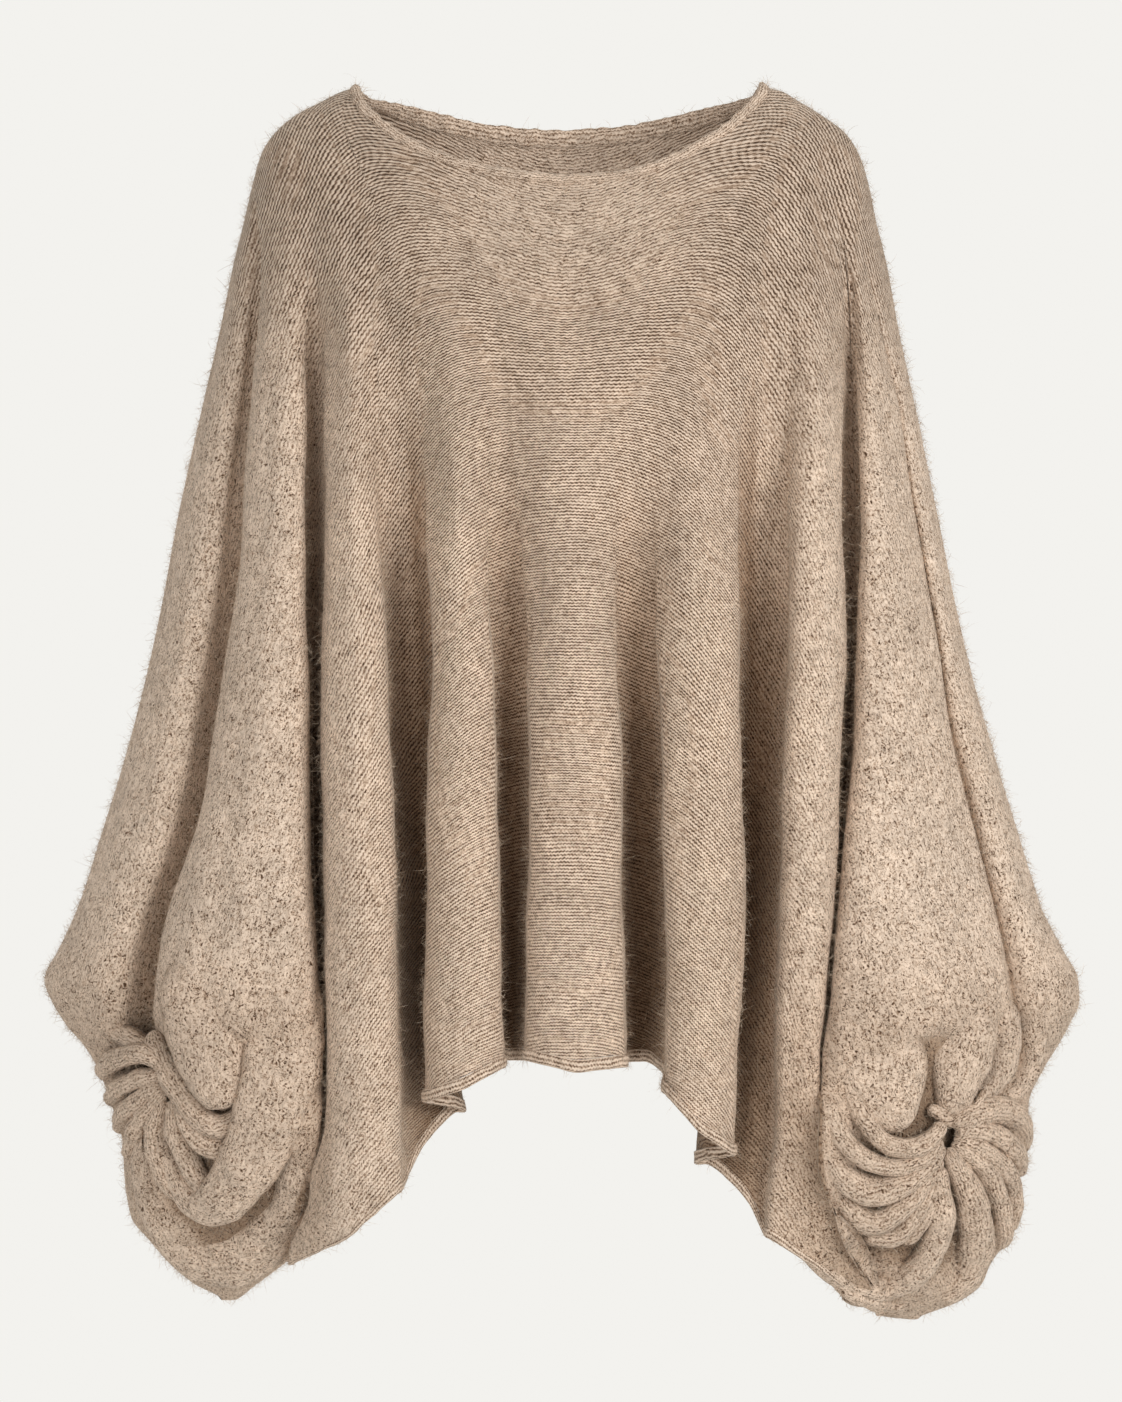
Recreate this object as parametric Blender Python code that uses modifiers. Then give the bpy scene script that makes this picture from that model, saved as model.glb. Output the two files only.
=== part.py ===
"""Oversized batwing sweater, worn form with no wearer.

Metres, +Z up, -Y is the front. The origin lies midway between the two neck corners,
where the shoulders carry the sweater. Everything below is in millimetres until it is
turned into a mesh.

The sweater is two wide knitted panels, front and back, seamed along the shoulders, down
the outer edge of each sleeve, round the sleeve's end and along its underside to the hem.
Every panel is a sheet lofted down from its top line to its hem. Across it runs a chain
of ridges and valleys, the deep folds in which the cloth hangs.
"""

import math

import bmesh
import bpy
import numpy as np

MM = 0.001

# ---------------------------------------------------------------- sizes, mm
WALL = 2.4  # thickness of the knitted wall
GAP = 0.3  # between pieces at a seam
SEAM_LIP = 4.0  # the wall runs straight through the seam plane for this far
BAND_HEIGHT = 9.0  # neckband
BAND_THICK = 4.6
NECK_STEPS, BAND_SIDES = 44, 6  # round the neck, round the band's section
HEM_HEIGHT = 9.0  # hem band
CUFF_REACH = 33.0  # from a cuff's middle to where it is sewn to the sleeve
MOUTH_R = 8.5  # radius of the drawn-in mouth of the cuff
PLEAT = 2.4  # height of the cuffs' radial pleats

# Heights and widths are as sighted on the plane of the side seams from SIGHT in front of
# it at eye level EYE_Z, and sighted() moves each point to where it stands in depth.
SIGHT = 3200.0
EYE_Z = -444.6

# Outline of the seam between front and back, left and right of the picture.
SIDES = (
    # z, left x, right x
    (3, -150, 152),
    (0, -160, 163),
    (-6, -172, 173),
    (-17, -193, 191),
    (-31, -209, 209),
    (-45, -218, 218),
    (-66, -224, 225),
    (-96, -231, 231),
    (-120, -237, 237),
    (-173, -248, 247),
    (-225, -260, 258),
    (-316, -280, 277),
    (-371, -290, 288),
    (-431, -303, 302),
    (-488, -318, 318),
    (-540, -334, 333),
    (-593, -350, 350),
    (-626, -366, 367),
    (-648, -376, 378),
    (-663, -371, 379),
    (-680, -360, 372),
    (-695, -347, 364),
    (-713, -339, 353),
    (-740, -328, 342),
    (-768, -319, 342),
    (-789, -318, 335),
    (-821, -313, 335),
    (-839, -299, 326),
    (-856, -284, 314),
    (-870, -267, 308),
    (-882, -247, 293),
    (-894, -247, 262),
)

# Top edge of the front neckband, corner to corner.
FRONT_NECK = (
    # x, z
    (-151, 3),
    (-147, -6),
    (-142, -17),
    (-126, -31),
    (-104, -42),
    (-80, -50),
    (-50, -57),
    (-18, -61),
    (6, -63),
    (43, -60),
    (74, -53),
    (104, -39),
    (126, -26),
    (141, -10),
    (149, 3),
)

# Top edge of the back neckband.
BACK_NECK = (
    # x, z
    (-151, 3),
    (-142, 0),
    (-111, -11),
    (-80, -19),
    (-50, -24),
    (-3, -27),
    (43, -25),
    (89, -18),
    (120, -9),
    (141, 0),
    (149, 3),
)

# How far the cloth stands from the seam plane at its middle, front and back.
DEPTHS = (
    # z, front, back
    (3, 28, 30),
    (-20, 52, 66),
    (-62, 82, 92),
    (-120, 108, 112),
    (-225, 130, 124),
    (-329, 138, 126),
    (-420, 142, 128),
    (-502, 146, 128),
    (-631, 150, 128),
    (-894, 150, 122),
)
SIDE_ROUND = 2.4  # exponent of the sections' superellipse

# Front ridges: where each one's left and right edges run. One row for each height;
# sleeve_l is the front of the sleeve at the left, and side, flank, front, middle follow.
LEVELS = (-120, -225, -329, -420, -502, -631, -700)
FRONT_RIDGES = (
    # name, top x left, left edge at LEVELS, top x right, right edge at LEVELS
    ("sleeve_l", -224, (-214, -224, -234, -246, -256, -294, -300), -202, (-184, -185, -185, -184, -183, -177, -174)),
    ("side_l", -192, (-172, -172, -172, -173, -174, -172, -171), -158, (-142, -134, -131, -126, -122, -119, -117)),
    ("flank_l", -144, (-111, -105, -101, -99, -101, -102, -101), -88, (-63, -53, -53, -50, -47, -44, -40)),
    ("middle", -69, (-44, -37, -32, -26, -26, -26, -26), 62, (42, 37, 39, 42, 46, 48, 50)),
    ("flank_r", 80, (73, 62, 70, 72, 74, 76, 77), 142, (130, 130, 130, 130, 132, 133, 130)),
    ("side_r", 156, (161, 168, 166, 164, 161, 155, 152), 184, (203, 207, 207, 211, 207, 201, 194)),
    ("sleeve_r", 194, (212, 216, 218, 216, 212, 204, 197), 222, (221, 240, 257, 271, 282, 307, 314)),
)
# Depth of the valley before each ridge, and after the last, at LEVELS and at the hem;
# tuck is how far its floor goes in behind a ridge at LEVELS and at the hem.
FRONT_VALLEYS = (
    # name, depth, tuck
    ("outer_l", (2, 8, 12, 16, 20, 26, 26, 20), (0, 0, 0, 0, 0, 0, 0, 0)),
    ("arm_l", (5, 45, 72, 80, 84, 80, 72, 50), (0, 0, 0, 0, 0, 0, 0, 0)),
    ("left", (0, 20, 45, 62, 70, 76, 78, 78), (0, 0, 2, 4, 8, 16, 26, 34)),
    ("inner_l", (0, 10, 30, 46, 58, 68, 72, 74), (0, 0, 0, 0, 0, 0, -2, -3)),
    ("inner_r", (0, 10, 30, 46, 58, 68, 72, 74), (0, 0, 0, 0, 0, 0, -2, -4)),
    ("right", (1, 24, 50, 62, 70, 76, 78, 78), (0, 0, -2, -4, -8, -18, -26, -34)),
    ("arm_r", (4, 40, 66, 76, 82, 80, 72, 50), (0, 0, 0, 0, 0, 0, 0, 0)),
    ("outer_r", (0, 4, 7, 10, 13, 18, 20, 16), (0, 0, 0, 0, 0, 0, 0, 0)),
)
# Hem of the front: where it lies on each ridge's left edge, crest and right edge, and on
# the floor of the valley after it.
FRONT_HEM = (
    # left x, z, crest z, right x, z, valley floor z
    ("sleeve_l", None, None, None, -202, -856, -853),
    ("side_l", -181, -850, -837, -115, -802, -745),
    ("flank_l", -99, -738, -728, -40, -712, -707),
    ("middle", -26, -707, -716, 49, -712, -708),
    ("flank_r", 75, -730, -759, 127, -777, -783),
    ("side_r", 149, -835, -860, 204, -879, -887),
    ("sleeve_r", 237, -894, None, None, None, None),
)

BACK_RIDGES = (
    ("sleeve_l", -224, (-215, -228, -240, -252, -266, -300, -306), -196, (-190, -196, -202, -206, -210, -212, -212)),
    ("side_l", -190, (-182, -182, -186, -190, -192, -194, -194), -158, (-138, -136, -134, -132, -130, -128, -128)),
    ("flank_l", -142, (-122, -116, -112, -110, -108, -106, -106), -74, (-66, -62, -60, -58, -56, -54, -54)),
    ("middle", -60, (-48, -42, -38, -36, -34, -32, -32), 30, (26, 28, 30, 32, 34, 36, 36)),
    ("flank_r", 46, (46, 48, 52, 54, 56, 58, 58), 140, (112, 114, 116, 118, 120, 122, 122)),
    ("side_r", 154, (130, 134, 136, 140, 142, 146, 146), 188, (186, 188, 194, 200, 204, 210, 214)),
    ("sleeve_r", 196, (198, 204, 212, 218, 224, 232, 236), 225, (228, 244, 256, 268, 280, 306, 314)),
)
BACK_VALLEYS = (
    ("outer_l", (0, 3, 6, 9, 12, 16, 16, 12), (0,) * 8),
    ("arm_l", (0, 16, 34, 44, 50, 52, 48, 30), (0,) * 8),
    ("left", (0, 8, 24, 38, 46, 52, 54, 54), (0, 0, 0, 0, 2, 4, 6, 8)),
    ("inner_l", (0, 6, 20, 32, 42, 50, 52, 54), (0,) * 8),
    ("inner_r", (0, 8, 22, 34, 44, 50, 52, 54), (0, 0, 0, 0, -2, -4, -6, -8)),
    ("right", (0, 8, 26, 38, 46, 52, 54, 54), (0,) * 8),
    ("arm_r", (0, 14, 30, 42, 48, 52, 48, 30), (0,) * 8),
    ("outer_r", (0, 3, 6, 9, 12, 16, 16, 12), (0,) * 8),
)
BACK_HEM = (
    ("sleeve_l", None, None, None, -202, -856, -850),
    ("side_l", -190, -838, -800, -134, -752, -740),
    ("flank_l", -112, -726, -712, -58, -702, -698),
    ("middle", -38, -696, -694, 34, -696, -698),
    ("flank_r", 54, -702, -714, 118, -742, -756),
    ("side_r", 140, -778, -834, 206, -876, -886),
    ("sleeve_r", 237, -894, None, None, None, None),
)
# Lowest line of each sleeve's bag, from the outer end to the hem's corner.
BAG_L = ((-247, -882), (-238, -882), (-221, -870), (-202, -856))
BAG_R = ((237, -894), (258, -896), (276, -892), (290, -884))
BAG_ROUND_FROM = -735.0  # below this the bags round in towards their seam

# Middle of each cuff.
CUFFS = (("cuff_left", -290.0, -724.0), ("cuff_right", 283.0, -757.0))

# A cuff's rings from its seam to its mouth.
CUFF_RINGS = (
    # place, depth, share of the pleats' height, lean of the wall in degrees
    (0.0, 0.0, 0.0, 0),
    (0.20, -5.0, 0.4, 0),
    (0.45, -9.0, 1.0, 0),
    (0.70, -7.0, 0.8, 20),
    (0.88, -1.0, 0.2, 55),
    (1.0, 9.0, 0.0, 90),
)

# Ridge cross-sections: place across the width, share of the valley's depth.
FRONT_FORM = ((0.0, 0.45), (0.14, 0.13), (0.5, 0.0), (0.86, 0.13), (1.0, 0.45))
BACK_FORM = ((0.0, 0.45), (0.22, 0.06), (0.78, 0.06), (1.0, 0.45))
OUTER_FORM = (0.0, 0.08, 0.22, 0.46, 0.74)  # across the outer panel of a sleeve
# Rows down each panel, as shares of each column's length.
ROWS = (0.0, 0.012, 0.04, 0.085, 0.14, 0.21, 0.29, 0.38, 0.47, 0.56, 0.64, 0.70, 0.745, 0.79, 0.835, 0.88, 0.92, 0.96, 1.0)

WOOL = (0.50, 0.40, 0.31, 1.0)
WOOL_DEEP = (0.44, 0.34, 0.26, 1.0)


# ---------------------------------------------------------------- tools
def along(knots, values, at):
    """Smooth curve through values at rising knots, with no overshoot between them."""
    k, v, at = (np.asarray(a, float) for a in (knots, values, at))
    if k[0] > k[-1]:
        k, v = k[::-1], v[::-1]
    h, d = np.diff(k), np.diff(v) / np.diff(k)
    m = np.empty_like(v)
    m[0], m[-1] = d[0], d[-1]
    w1, w2 = 2 * h[1:] + h[:-1], h[1:] + 2 * h[:-1]
    with np.errstate(divide="ignore", invalid="ignore"):
        inner = (w1 + w2) / (w1 / d[:-1] + w2 / d[1:])
    m[1:-1] = np.where(d[:-1] * d[1:] > 0, inner, 0.0)
    at = np.clip(at, k[0], k[-1])
    i = np.clip(np.searchsorted(k, at, side="right") - 1, 0, len(k) - 2)
    t = (at - k[i]) / h[i]
    return (
        v[i] * (1 + 2 * t) * (1 - t) ** 2
        + m[i] * h[i] * t * (1 - t) ** 2
        + v[i + 1] * t * t * (3 - 2 * t)
        + m[i + 1] * h[i] * t * t * (t - 1)
    )


def ease(t):
    t = np.clip(t, 0.0, 1.0)
    return t * t * (3 - 2 * t)


def side_x(z, hand):
    """Seam outline at height z; hand -1 is left of the picture, +1 right."""
    rows = np.array(SIDES, float)
    return along(rows[:, 0], rows[:, 1 if hand < 0 else 2], z)


def base_y(x, z, hand_y):
    """Depth of the unfolded cloth at sighted x, z: a superellipse across, from DEPTHS."""
    rows = np.array(DEPTHS, float)
    deep = along(rows[:, 0], rows[:, 1 if hand_y < 0 else 2], z)
    half = np.where(x < 0, -side_x(z, -1), side_x(z, 1))
    inside = np.clip(1 - np.abs(x / half) ** SIDE_ROUND, 0.0, 1.0)
    return hand_y * deep * np.sqrt(inside)


def top_line(x, neck):
    """Height of the panel's top edge over x: down the shoulders, and along the neck."""
    rows = np.array(SIDES[:9], float)
    line = np.array(neck, float)
    left = along(rows[::-1, 1], rows[::-1, 0], x)
    right = along(rows[:, 2], rows[:, 0], x)
    middle = along(line[:, 0], line[:, 1], x)
    return np.where(x < line[0, 0], left, np.where(x > line[-1, 0], right, middle))


def sighted(x, y, z):
    """From a place on the seam plane to the point at depth y on the same line of sight."""
    k = 1 + y / SIGHT
    return x * k, y, EYE_Z + (z - EYE_Z) * k


# ---------------------------------------------------------------- the panels
class Column:
    """One line down a panel: where it starts and ends, and its place in the folds."""

    def __init__(self, top_x, edge, depth, share, end_x, end_z, tuck_in=1.0, sleeve=0.0):
        self.top_x, self.edge, self.depth, self.share = top_x, edge, depth, share
        self.end_x, self.end_z, self.tuck_in, self.sleeve = end_x, end_z, tuck_in, sleeve


def between(a, b, f):
    return lambda z: a(z) + (b(z) - a(z)) * f


def columns_of(ridges, valleys, hem, form):
    """The panel's columns from the outer seam at the left to the one at the right."""
    edges, found = [], []
    for name, top_l, left, top_r, right in ridges:
        for top, xs in ((top_l, left), (top_r, right)):
            edges.append((top, lambda z, xs=xs: along(LEVELS, xs, z)))
    deeps = [lambda z, d=d: along((*LEVELS, -745), d, z) for _, d, _ in valleys]
    tucks = [lambda z, t=t: along((*LEVELS, -745), t, z) for _, _, t in valleys]

    def outline(hand):
        return lambda z: side_x(z, hand)

    start_z = SIDES[8][0]
    bag_l, bag_r = np.array(BAG_L, float), np.array(BAG_R, float)

    def bag(line, f):
        places = np.linspace(0, 1, len(line))
        return float(along(places, line[:, 0], f)), float(along(places, line[:, 1], f))

    # The sleeve at the left: its outer panel, then its front ridge.
    wide = 0.42  # share of the sleeve's width that the outer panel takes at its end
    first = outline(-1)
    for f in OUTER_FORM:
        z_top = start_z + (SIDES[6][0] - start_z) * f
        end = bag(bag_l, wide * f)
        found.append(Column(float(side_x(z_top, -1)), between(first, edges[0][1], f), deeps[0], 0.25 * f**3, *end, 0.0, 1.0))
    floor = lambda z: edges[0][1](z) - 3.0
    found.append(Column(edges[0][0] - 0.4, floor, deeps[0], 1.0, *bag(bag_l, wide), 0.0, 1.0))
    for f, share in form:
        pair = edges[0][1], edges[1][1]
        d = deeps[0] if f < 0.5 else deeps[1]
        end = bag(bag_l, wide + (1 - wide) * (0.06 + 0.94 * f))
        found.append(Column(edges[0][0] + (edges[1][0] - edges[0][0]) * f, between(*pair, f), d, share, *end, 0.0, 1.0 - 0.4 * f))

    # From the first arm valley to the last: valley, ridge, valley ...
    for k in range(1, len(ridges)):
        before, after = hem[k - 1], hem[k]
        mouth_l, mouth_r = edges[2 * k - 1], edges[2 * k]
        end_l = before[4]
        end_r = after[1]
        near = {1: 0.35, len(ridges) - 1: 0.35}.get(k, 1.0)
        for f in (0.32, 0.68):
            tuck = tucks[k]
            middle = between(mouth_l[1], mouth_r[1], f)
            edge = lambda z, m=middle, t=tuck: m(z) + t(z)
            end_x = end_l + (end_r - end_l) * f + float(tuck(-745.0))
            found.append(Column(mouth_l[0] + (mouth_r[0] - mouth_l[0]) * f, edge, deeps[k], 1.0, end_x, before[6], near))
        if k == len(ridges) - 1:
            break
        left, right = edges[2 * k], edges[2 * k + 1]
        for f, share in form:
            d = deeps[k] if f < 0.5 else deeps[k + 1]
            z_end = after[2] + (after[3] - after[2]) * min(1, f * 2) if f < 0.5 else after[3] + (after[5] - after[3]) * (2 * f - 1)
            near = 1.0
            if k == 1:
                near = 0.60 + 0.40 * f
            if k == len(ridges) - 2:
                near = 1.0 - 0.40 * f
            found.append(Column(left[0] + (right[0] - left[0]) * f, between(left[1], right[1], f), d, share, after[1] + (after[4] - after[1]) * f, z_end, near))

    # The sleeve at the right.
    last = outline(1)
    for f, share in form:
        pair = edges[-2][1], edges[-1][1]
        d = deeps[-2] if f < 0.5 else deeps[-1]
        end = bag(bag_r, (1 - wide) * 0.94 * f)
        found.append(Column(edges[-2][0] + (edges[-1][0] - edges[-2][0]) * f, between(*pair, f), d, share, *end, 0.0, 0.6 + 0.4 * f))
    floor_r = lambda z: edges[-1][1](z) + 3.0
    found.append(Column(edges[-1][0] + 0.4, floor_r, deeps[-1], 1.0, *bag(bag_r, 1 - wide), 0.0, 1.0))
    for f in reversed(OUTER_FORM):
        z_top = start_z + (SIDES[6][0] - start_z) * f
        end = bag(bag_r, 1 - wide * f)
        found.append(Column(float(side_x(z_top, 1)), between(last, edges[-1][1], f), deeps[-1], 0.25 * f**3, *end, 0.0, 1.0))
    return found


SPREAD = 17.0  # how far columns swing out round the neck corners


def panel_points(columns, neck, hand_y, rows, fine=240):
    """Grid of true points, rows down and columns across, even along each column."""
    neck_l, neck_r = neck[0][0], neck[-1][0]
    grid = []
    for c in columns:
        on_neck = neck_l < c.top_x < neck_r
        z_top = float(top_line(np.array(c.top_x), neck))
        t = np.linspace(0, 1, fine + 1)
        z = z_top + (c.end_z - z_top) * (t if on_neck else t**1.6)
        x = c.edge(z)
        # the column leaves the top line where it is sewn, and lands on its own hem point
        start = np.clip((z_top - z) / 150.0, 0, 1)
        x = x + (c.top_x - x[0]) * (1 - start) ** 2.2
        low = ease((z - (c.end_z + 110.0)) / -110.0)
        x = x + (c.end_x - x[-1]) * low
        # round a neck corner the columns spread away from the neck's edge
        q = (z_top - z) / 28.0
        x = x + math.copysign(SPREAD, c.top_x) * math.exp(-(((abs(c.top_x) - 150.0) / 24.0) ** 2)) * q * np.exp(1 - q)
        # nothing passes the outline
        x = np.clip(x, side_x(z, -1), side_x(z, 1))
        y = base_y(x, z, hand_y)
        fold = np.where(z > -120, ease((z_top - z) / max(40.0, z_top + 120.0)), 1.0)
        # the folds run out round each cuff, where the cloth is drawn together
        calm = np.ones_like(z)
        if hand_y < 0:
            for _, cuff_x, cuff_z in CUFFS:
                calm = np.minimum(calm, ease((np.hypot(x - cuff_x, z - cuff_z) - CUFF_REACH) / 50.0))
        y = y - hand_y * c.share * c.depth(z) * fold * calm
        # the bags close towards their seam
        depth = np.clip((BAG_ROUND_FROM - z) / (BAG_ROUND_FROM - c.end_z), 0, 1)
        close = np.sqrt(np.clip(1 - depth**2.2, 0, 1))
        y = y * (1 - (1 - c.tuck_in) * (1 - close))
        y = hand_y * np.maximum(np.abs(y), 0.0)
        points = np.stack(sighted(x, y, z), axis=1)
        run = np.concatenate([[0], np.cumsum(np.linalg.norm(np.diff(points, axis=0), axis=1))])
        want = np.asarray(rows) * run[-1]
        grid.append(np.stack([np.interp(want, run, points[:, a]) for a in range(3)], axis=1))
    return np.stack(grid, axis=1)


def seam_lips(points, sewn_top, sewn_end, hand_y):
    """Runs each sewn edge straight through the seam plane: the edge itself GAP / 2 from it,
    and the row or column next to it at SEAM_LIP, so that the two panels' rims face."""
    p = points.copy()
    y = hand_y * p[:, :, 1]
    rows, cols = y.shape
    edge = np.zeros((rows, cols), bool)
    edge[:, 0] = edge[:, -1] = True
    edge[0, sewn_top] = True
    edge[-1, sewn_end] = True
    y = np.maximum(y, SEAM_LIP + 1.5)
    for c, inner in ((0, 1), (cols - 1, cols - 2)):
        p[1:-1, inner, 0::2] = p[1:-1, c, 0::2]
        y[1:-1, inner] = SEAM_LIP
    for sewn, row, inner in ((sewn_top, 0, 1), (sewn_end, rows - 1, rows - 2)):
        for c in np.flatnonzero(sewn):
            # a corner of the neck or the hem keeps its own way off the seam
            if 0 < c < cols - 1 and (row == 0 or (sewn[c - 1] and sewn[c + 1])):
                p[inner, c, 0::2] = p[row, c, 0::2]
                y[inner, c] = SEAM_LIP
    for row, inner in ((0, 1), (rows - 1, rows - 2)):
        for col, beside in ((0, 1), (cols - 1, cols - 2)):
            p[inner, beside, 0::2] = p[row, col, 0::2]
    y[edge] = GAP / 2
    p[:, :, 1] = hand_y * y
    return p


# ---------------------------------------------------------------- Blender objects
def cloth_material(name, colour):
    material = bpy.data.materials.new(name)
    material.use_nodes = True
    shader = material.node_tree.nodes["Principled BSDF"]
    shader.inputs["Base Color"].default_value = colour
    shader.inputs["Roughness"].default_value = 0.95
    shader.inputs["Metallic"].default_value = 0.0
    return material


def fresh_collection(name):
    found = bpy.data.collections.new(name)
    bpy.context.scene.collection.children.link(found)
    return found


def sheet_object(name, points, collection, material, out_y, closed=False):
    """Open surface from a grid of points, its outer side towards out_y."""
    rows, cols = points.shape[:2]
    mesh = bmesh.new()
    verts = [[mesh.verts.new(points[r, c] * MM) for c in range(cols)] for r in range(rows)]
    for r in range(rows - 1):
        for c in range(cols if closed else cols - 1):
            d = (c + 1) % cols
            ring = (verts[r][c], verts[r + 1][c], verts[r + 1][d], verts[r][d])
            mesh.faces.new(ring if out_y < 0 else ring[::-1])
    data = bpy.data.meshes.new(name)
    mesh.to_mesh(data)
    mesh.free()
    data.materials.append(material)
    made = bpy.data.objects.new(name, data)
    collection.objects.link(made)
    return made


def thicken(made, thickness, offset=-1.0):
    wall = made.modifiers.new("wall", "SOLIDIFY")
    wall.thickness = thickness * MM
    wall.offset = offset
    wall.use_even_offset = False
    wall.use_quality_normals = True
    return wall


def settle(made):
    """Applies the modifiers, so that the rims can be trimmed."""
    graph = bpy.context.evaluated_depsgraph_get()
    data = bpy.data.meshes.new_from_object(made.evaluated_get(graph))
    old = made.data
    made.modifiers.clear()
    made.data = data
    bpy.data.meshes.remove(old)


def trim_to_seam(made, hand_y):
    """Both edges of every sewn rim end GAP / 2 from the seam plane."""
    for v in made.data.vertices:
        if hand_y * v.co.y < 0.5 * SEAM_LIP * MM:
            v.co.y = hand_y * GAP / 2 * MM


def with_hem_rows(points, first, last):
    """The grid with a row for the band's top edge and one for the panel's edge GAP above
    it, and with a column GAP inside each end of the band."""
    rows, cols = points.shape[:2]
    band_top, panel_end = points[-2].copy(), points[-2].copy()
    for c in range(first, last + 1):
        away = points[-2, c] - points[-1, c]
        away /= np.linalg.norm(away)
        band_top[c] = points[-1, c] + away * HEM_HEIGHT
        panel_end[c] = points[-1, c] + away * (HEM_HEIGHT + GAP)
    for c in list(range(first)) + list(range(last + 1, cols)):
        panel_end[c] = points[-2, c] + (points[-3, c] - points[-2, c]) * 0.06
    made = np.concatenate([points[:-2], panel_end[None], band_top[None], points[-1:]])
    for c, step in ((last, -1), (first, 1)):
        here, there = made[:, c], made[:, c + step]
        share = GAP / np.maximum(np.linalg.norm(there - here, axis=1), 1e-6)
        extra = here + (there - here) * share[:, None]
        made = np.insert(made, c if step < 0 else c + 1, extra, axis=1)
    return made, first + 1, last + 1


def shell_piece(name, outer, inner, wanted, collection, material, ring=False):
    """Closed wall from the wanted cells of two like grids, its outer and inner sides."""
    rows, cols = outer.shape[:2]
    mesh, made = bmesh.new(), {}

    def vert(side, r, c):
        key = side, r, c % (cols - 1) if ring else c
        if key not in made:
            made[key] = mesh.verts.new((outer, inner)[side][r, c])
        return made[key]

    # Every cell is split along the same diagonal on both sides of the wall, and every rim
    # the same way, so that walls keep their thickness and rims that face stay apart.
    for r, c in zip(*np.nonzero(wanted)):
        cell = ((r, c), (r + 1, c), (r + 1, c + 1), (r, c + 1))
        for half in ((cell[0], cell[1], cell[2]), (cell[0], cell[2], cell[3])):
            mesh.faces.new([vert(0, *at) for at in half])
            mesh.faces.new([vert(1, *at) for at in half[::-1]])
        beside = ((r, c - 1), (r + 1, c), (r, c + 1), (r - 1, c))
        for n, (i, j) in enumerate(beside):
            j = j % (cols - 1) if ring else j
            if 0 <= i < rows - 1 and 0 <= j < cols - 1 and wanted[i, j]:
                continue
            a, b = cell[n], cell[(n + 1) % 4]
            rim = (vert(0, *b), vert(0, *a), vert(1, *a), vert(1, *b))
            first = 0 if b < a else 1
            mesh.faces.new((rim[first], rim[first + 1], rim[(first + 2) % 4]))
            mesh.faces.new((rim[first], rim[(first + 2) % 4], rim[(first + 3) % 4]))
    bmesh.ops.recalc_face_normals(mesh, faces=mesh.faces)
    data = bpy.data.meshes.new(name)
    mesh.to_mesh(data)
    mesh.free()
    data.materials.append(material)
    found = bpy.data.objects.new(name, data)
    collection.objects.link(found)
    return found


def even_ring(values, count, places=None):
    """A closed ring of values resampled at count even steps along its own or places' run."""
    path = values if places is None else places
    step = np.linalg.norm(np.roll(path, -1, 0) - path, axis=1)
    run = np.concatenate([[0], np.cumsum(step)])
    closed = np.concatenate([values, values[:1]])
    want = np.linspace(0, run[-1], count, endpoint=False)
    return np.stack([np.interp(want, run, closed[:, a]) for a in range(3)], axis=1)


def cuff_block(grid, cx, cz):
    """First and last row and column of the panel's cells that a cuff takes the place of."""
    away = np.hypot(grid[:, :, 0] - cx, grid[:, :, 2] - cz)
    row, col = np.unravel_index(np.argmin(away), away.shape)
    xs, zs = grid[row, :, 0] - cx, grid[:, col, 2] - cz
    near = np.arange(max(0, col - 9), min(grid.shape[1], col + 10))
    c0 = near[np.argmin(np.abs(xs[near] + CUFF_REACH))]
    c1 = near[np.argmin(np.abs(xs[near] - CUFF_REACH))]
    r0, r1 = np.argmin(np.abs(zs - CUFF_REACH)), np.argmin(np.abs(zs + CUFF_REACH))
    return int(r0), int(r1), int(c0), int(c1)


def cuff_piece(name, outer, inner, block, cx, cz, collection, material):
    """Gathered sleeve end: from the panel's hole, GAP inside it, drawn in to the mouth."""
    r0, r1, c0, c1 = block
    loop = [(r0, c) for c in range(c0, c1)] + [(r, c1) for r in range(r0, r1)]
    loop += [(r1, c) for c in range(c1, c0, -1)] + [(r, c0) for r in range(r1, r0, -1)]

    def ring_of(side):
        points = np.array([side[at] for at in loop])
        halves = (points + np.roll(points, -1, 0)) / 2
        return np.stack([points, halves], axis=1).reshape(-1, 3)

    rim, rim_in = ring_of(outer), ring_of(inner)
    y_mid = float(np.median(rim[:, 1])) - 4.0
    middle = np.array([cx, y_mid, cz])
    toward = middle - rim
    toward[:, 1] *= 0.25
    toward /= np.linalg.norm(toward, axis=1)[:, None]
    angles = np.unwrap(np.arctan2(rim[:, 2] - cz, rim[:, 0] - cx))
    even = angles[0] + np.sign(angles[-1] - angles[0]) * 2 * math.pi * np.arange(len(rim)) / len(rim)
    turn = (angles + even) / 2
    mouth = np.stack([cx + MOUTH_R * np.cos(turn), np.full(len(rim), y_mid), cz + MOUTH_R * np.sin(turn)], axis=1)
    start = rim + toward * (GAP + 0.15)
    waves = np.where(np.arange(len(rim)) % 2 == 0, 1.0, -1.0)
    rings = []
    for f, swell, pleat, _ in CUFF_RINGS:
        ring = start * (1 - f) + mouth * f
        ring[:, 1] += swell + waves * pleat * PLEAT
        rings.append(ring)
    # The wall's inner side lies behind the outer one, and outside it round the mouth.
    rings = np.array(rings)
    out = np.stack([np.cos(turn), np.zeros(len(rim)), np.sin(turn)], axis=1)
    back = [rim_in + toward * (GAP + 0.15)]
    for ring, (_, _, _, lean) in zip(rings[1:], CUFF_RINGS[1:]):
        lean = math.radians(lean)
        back.append(ring + WALL * (np.array([0, math.cos(lean), 0]) + out * math.sin(lean)))
    back = np.array(back)
    join = lambda g: np.concatenate([g, g[:, :1]], axis=1) * MM
    cells = np.ones((len(rings) - 1, len(rim)), bool)
    return shell_piece(name, join(rings), join(back), cells, collection, material, ring=True)


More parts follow.
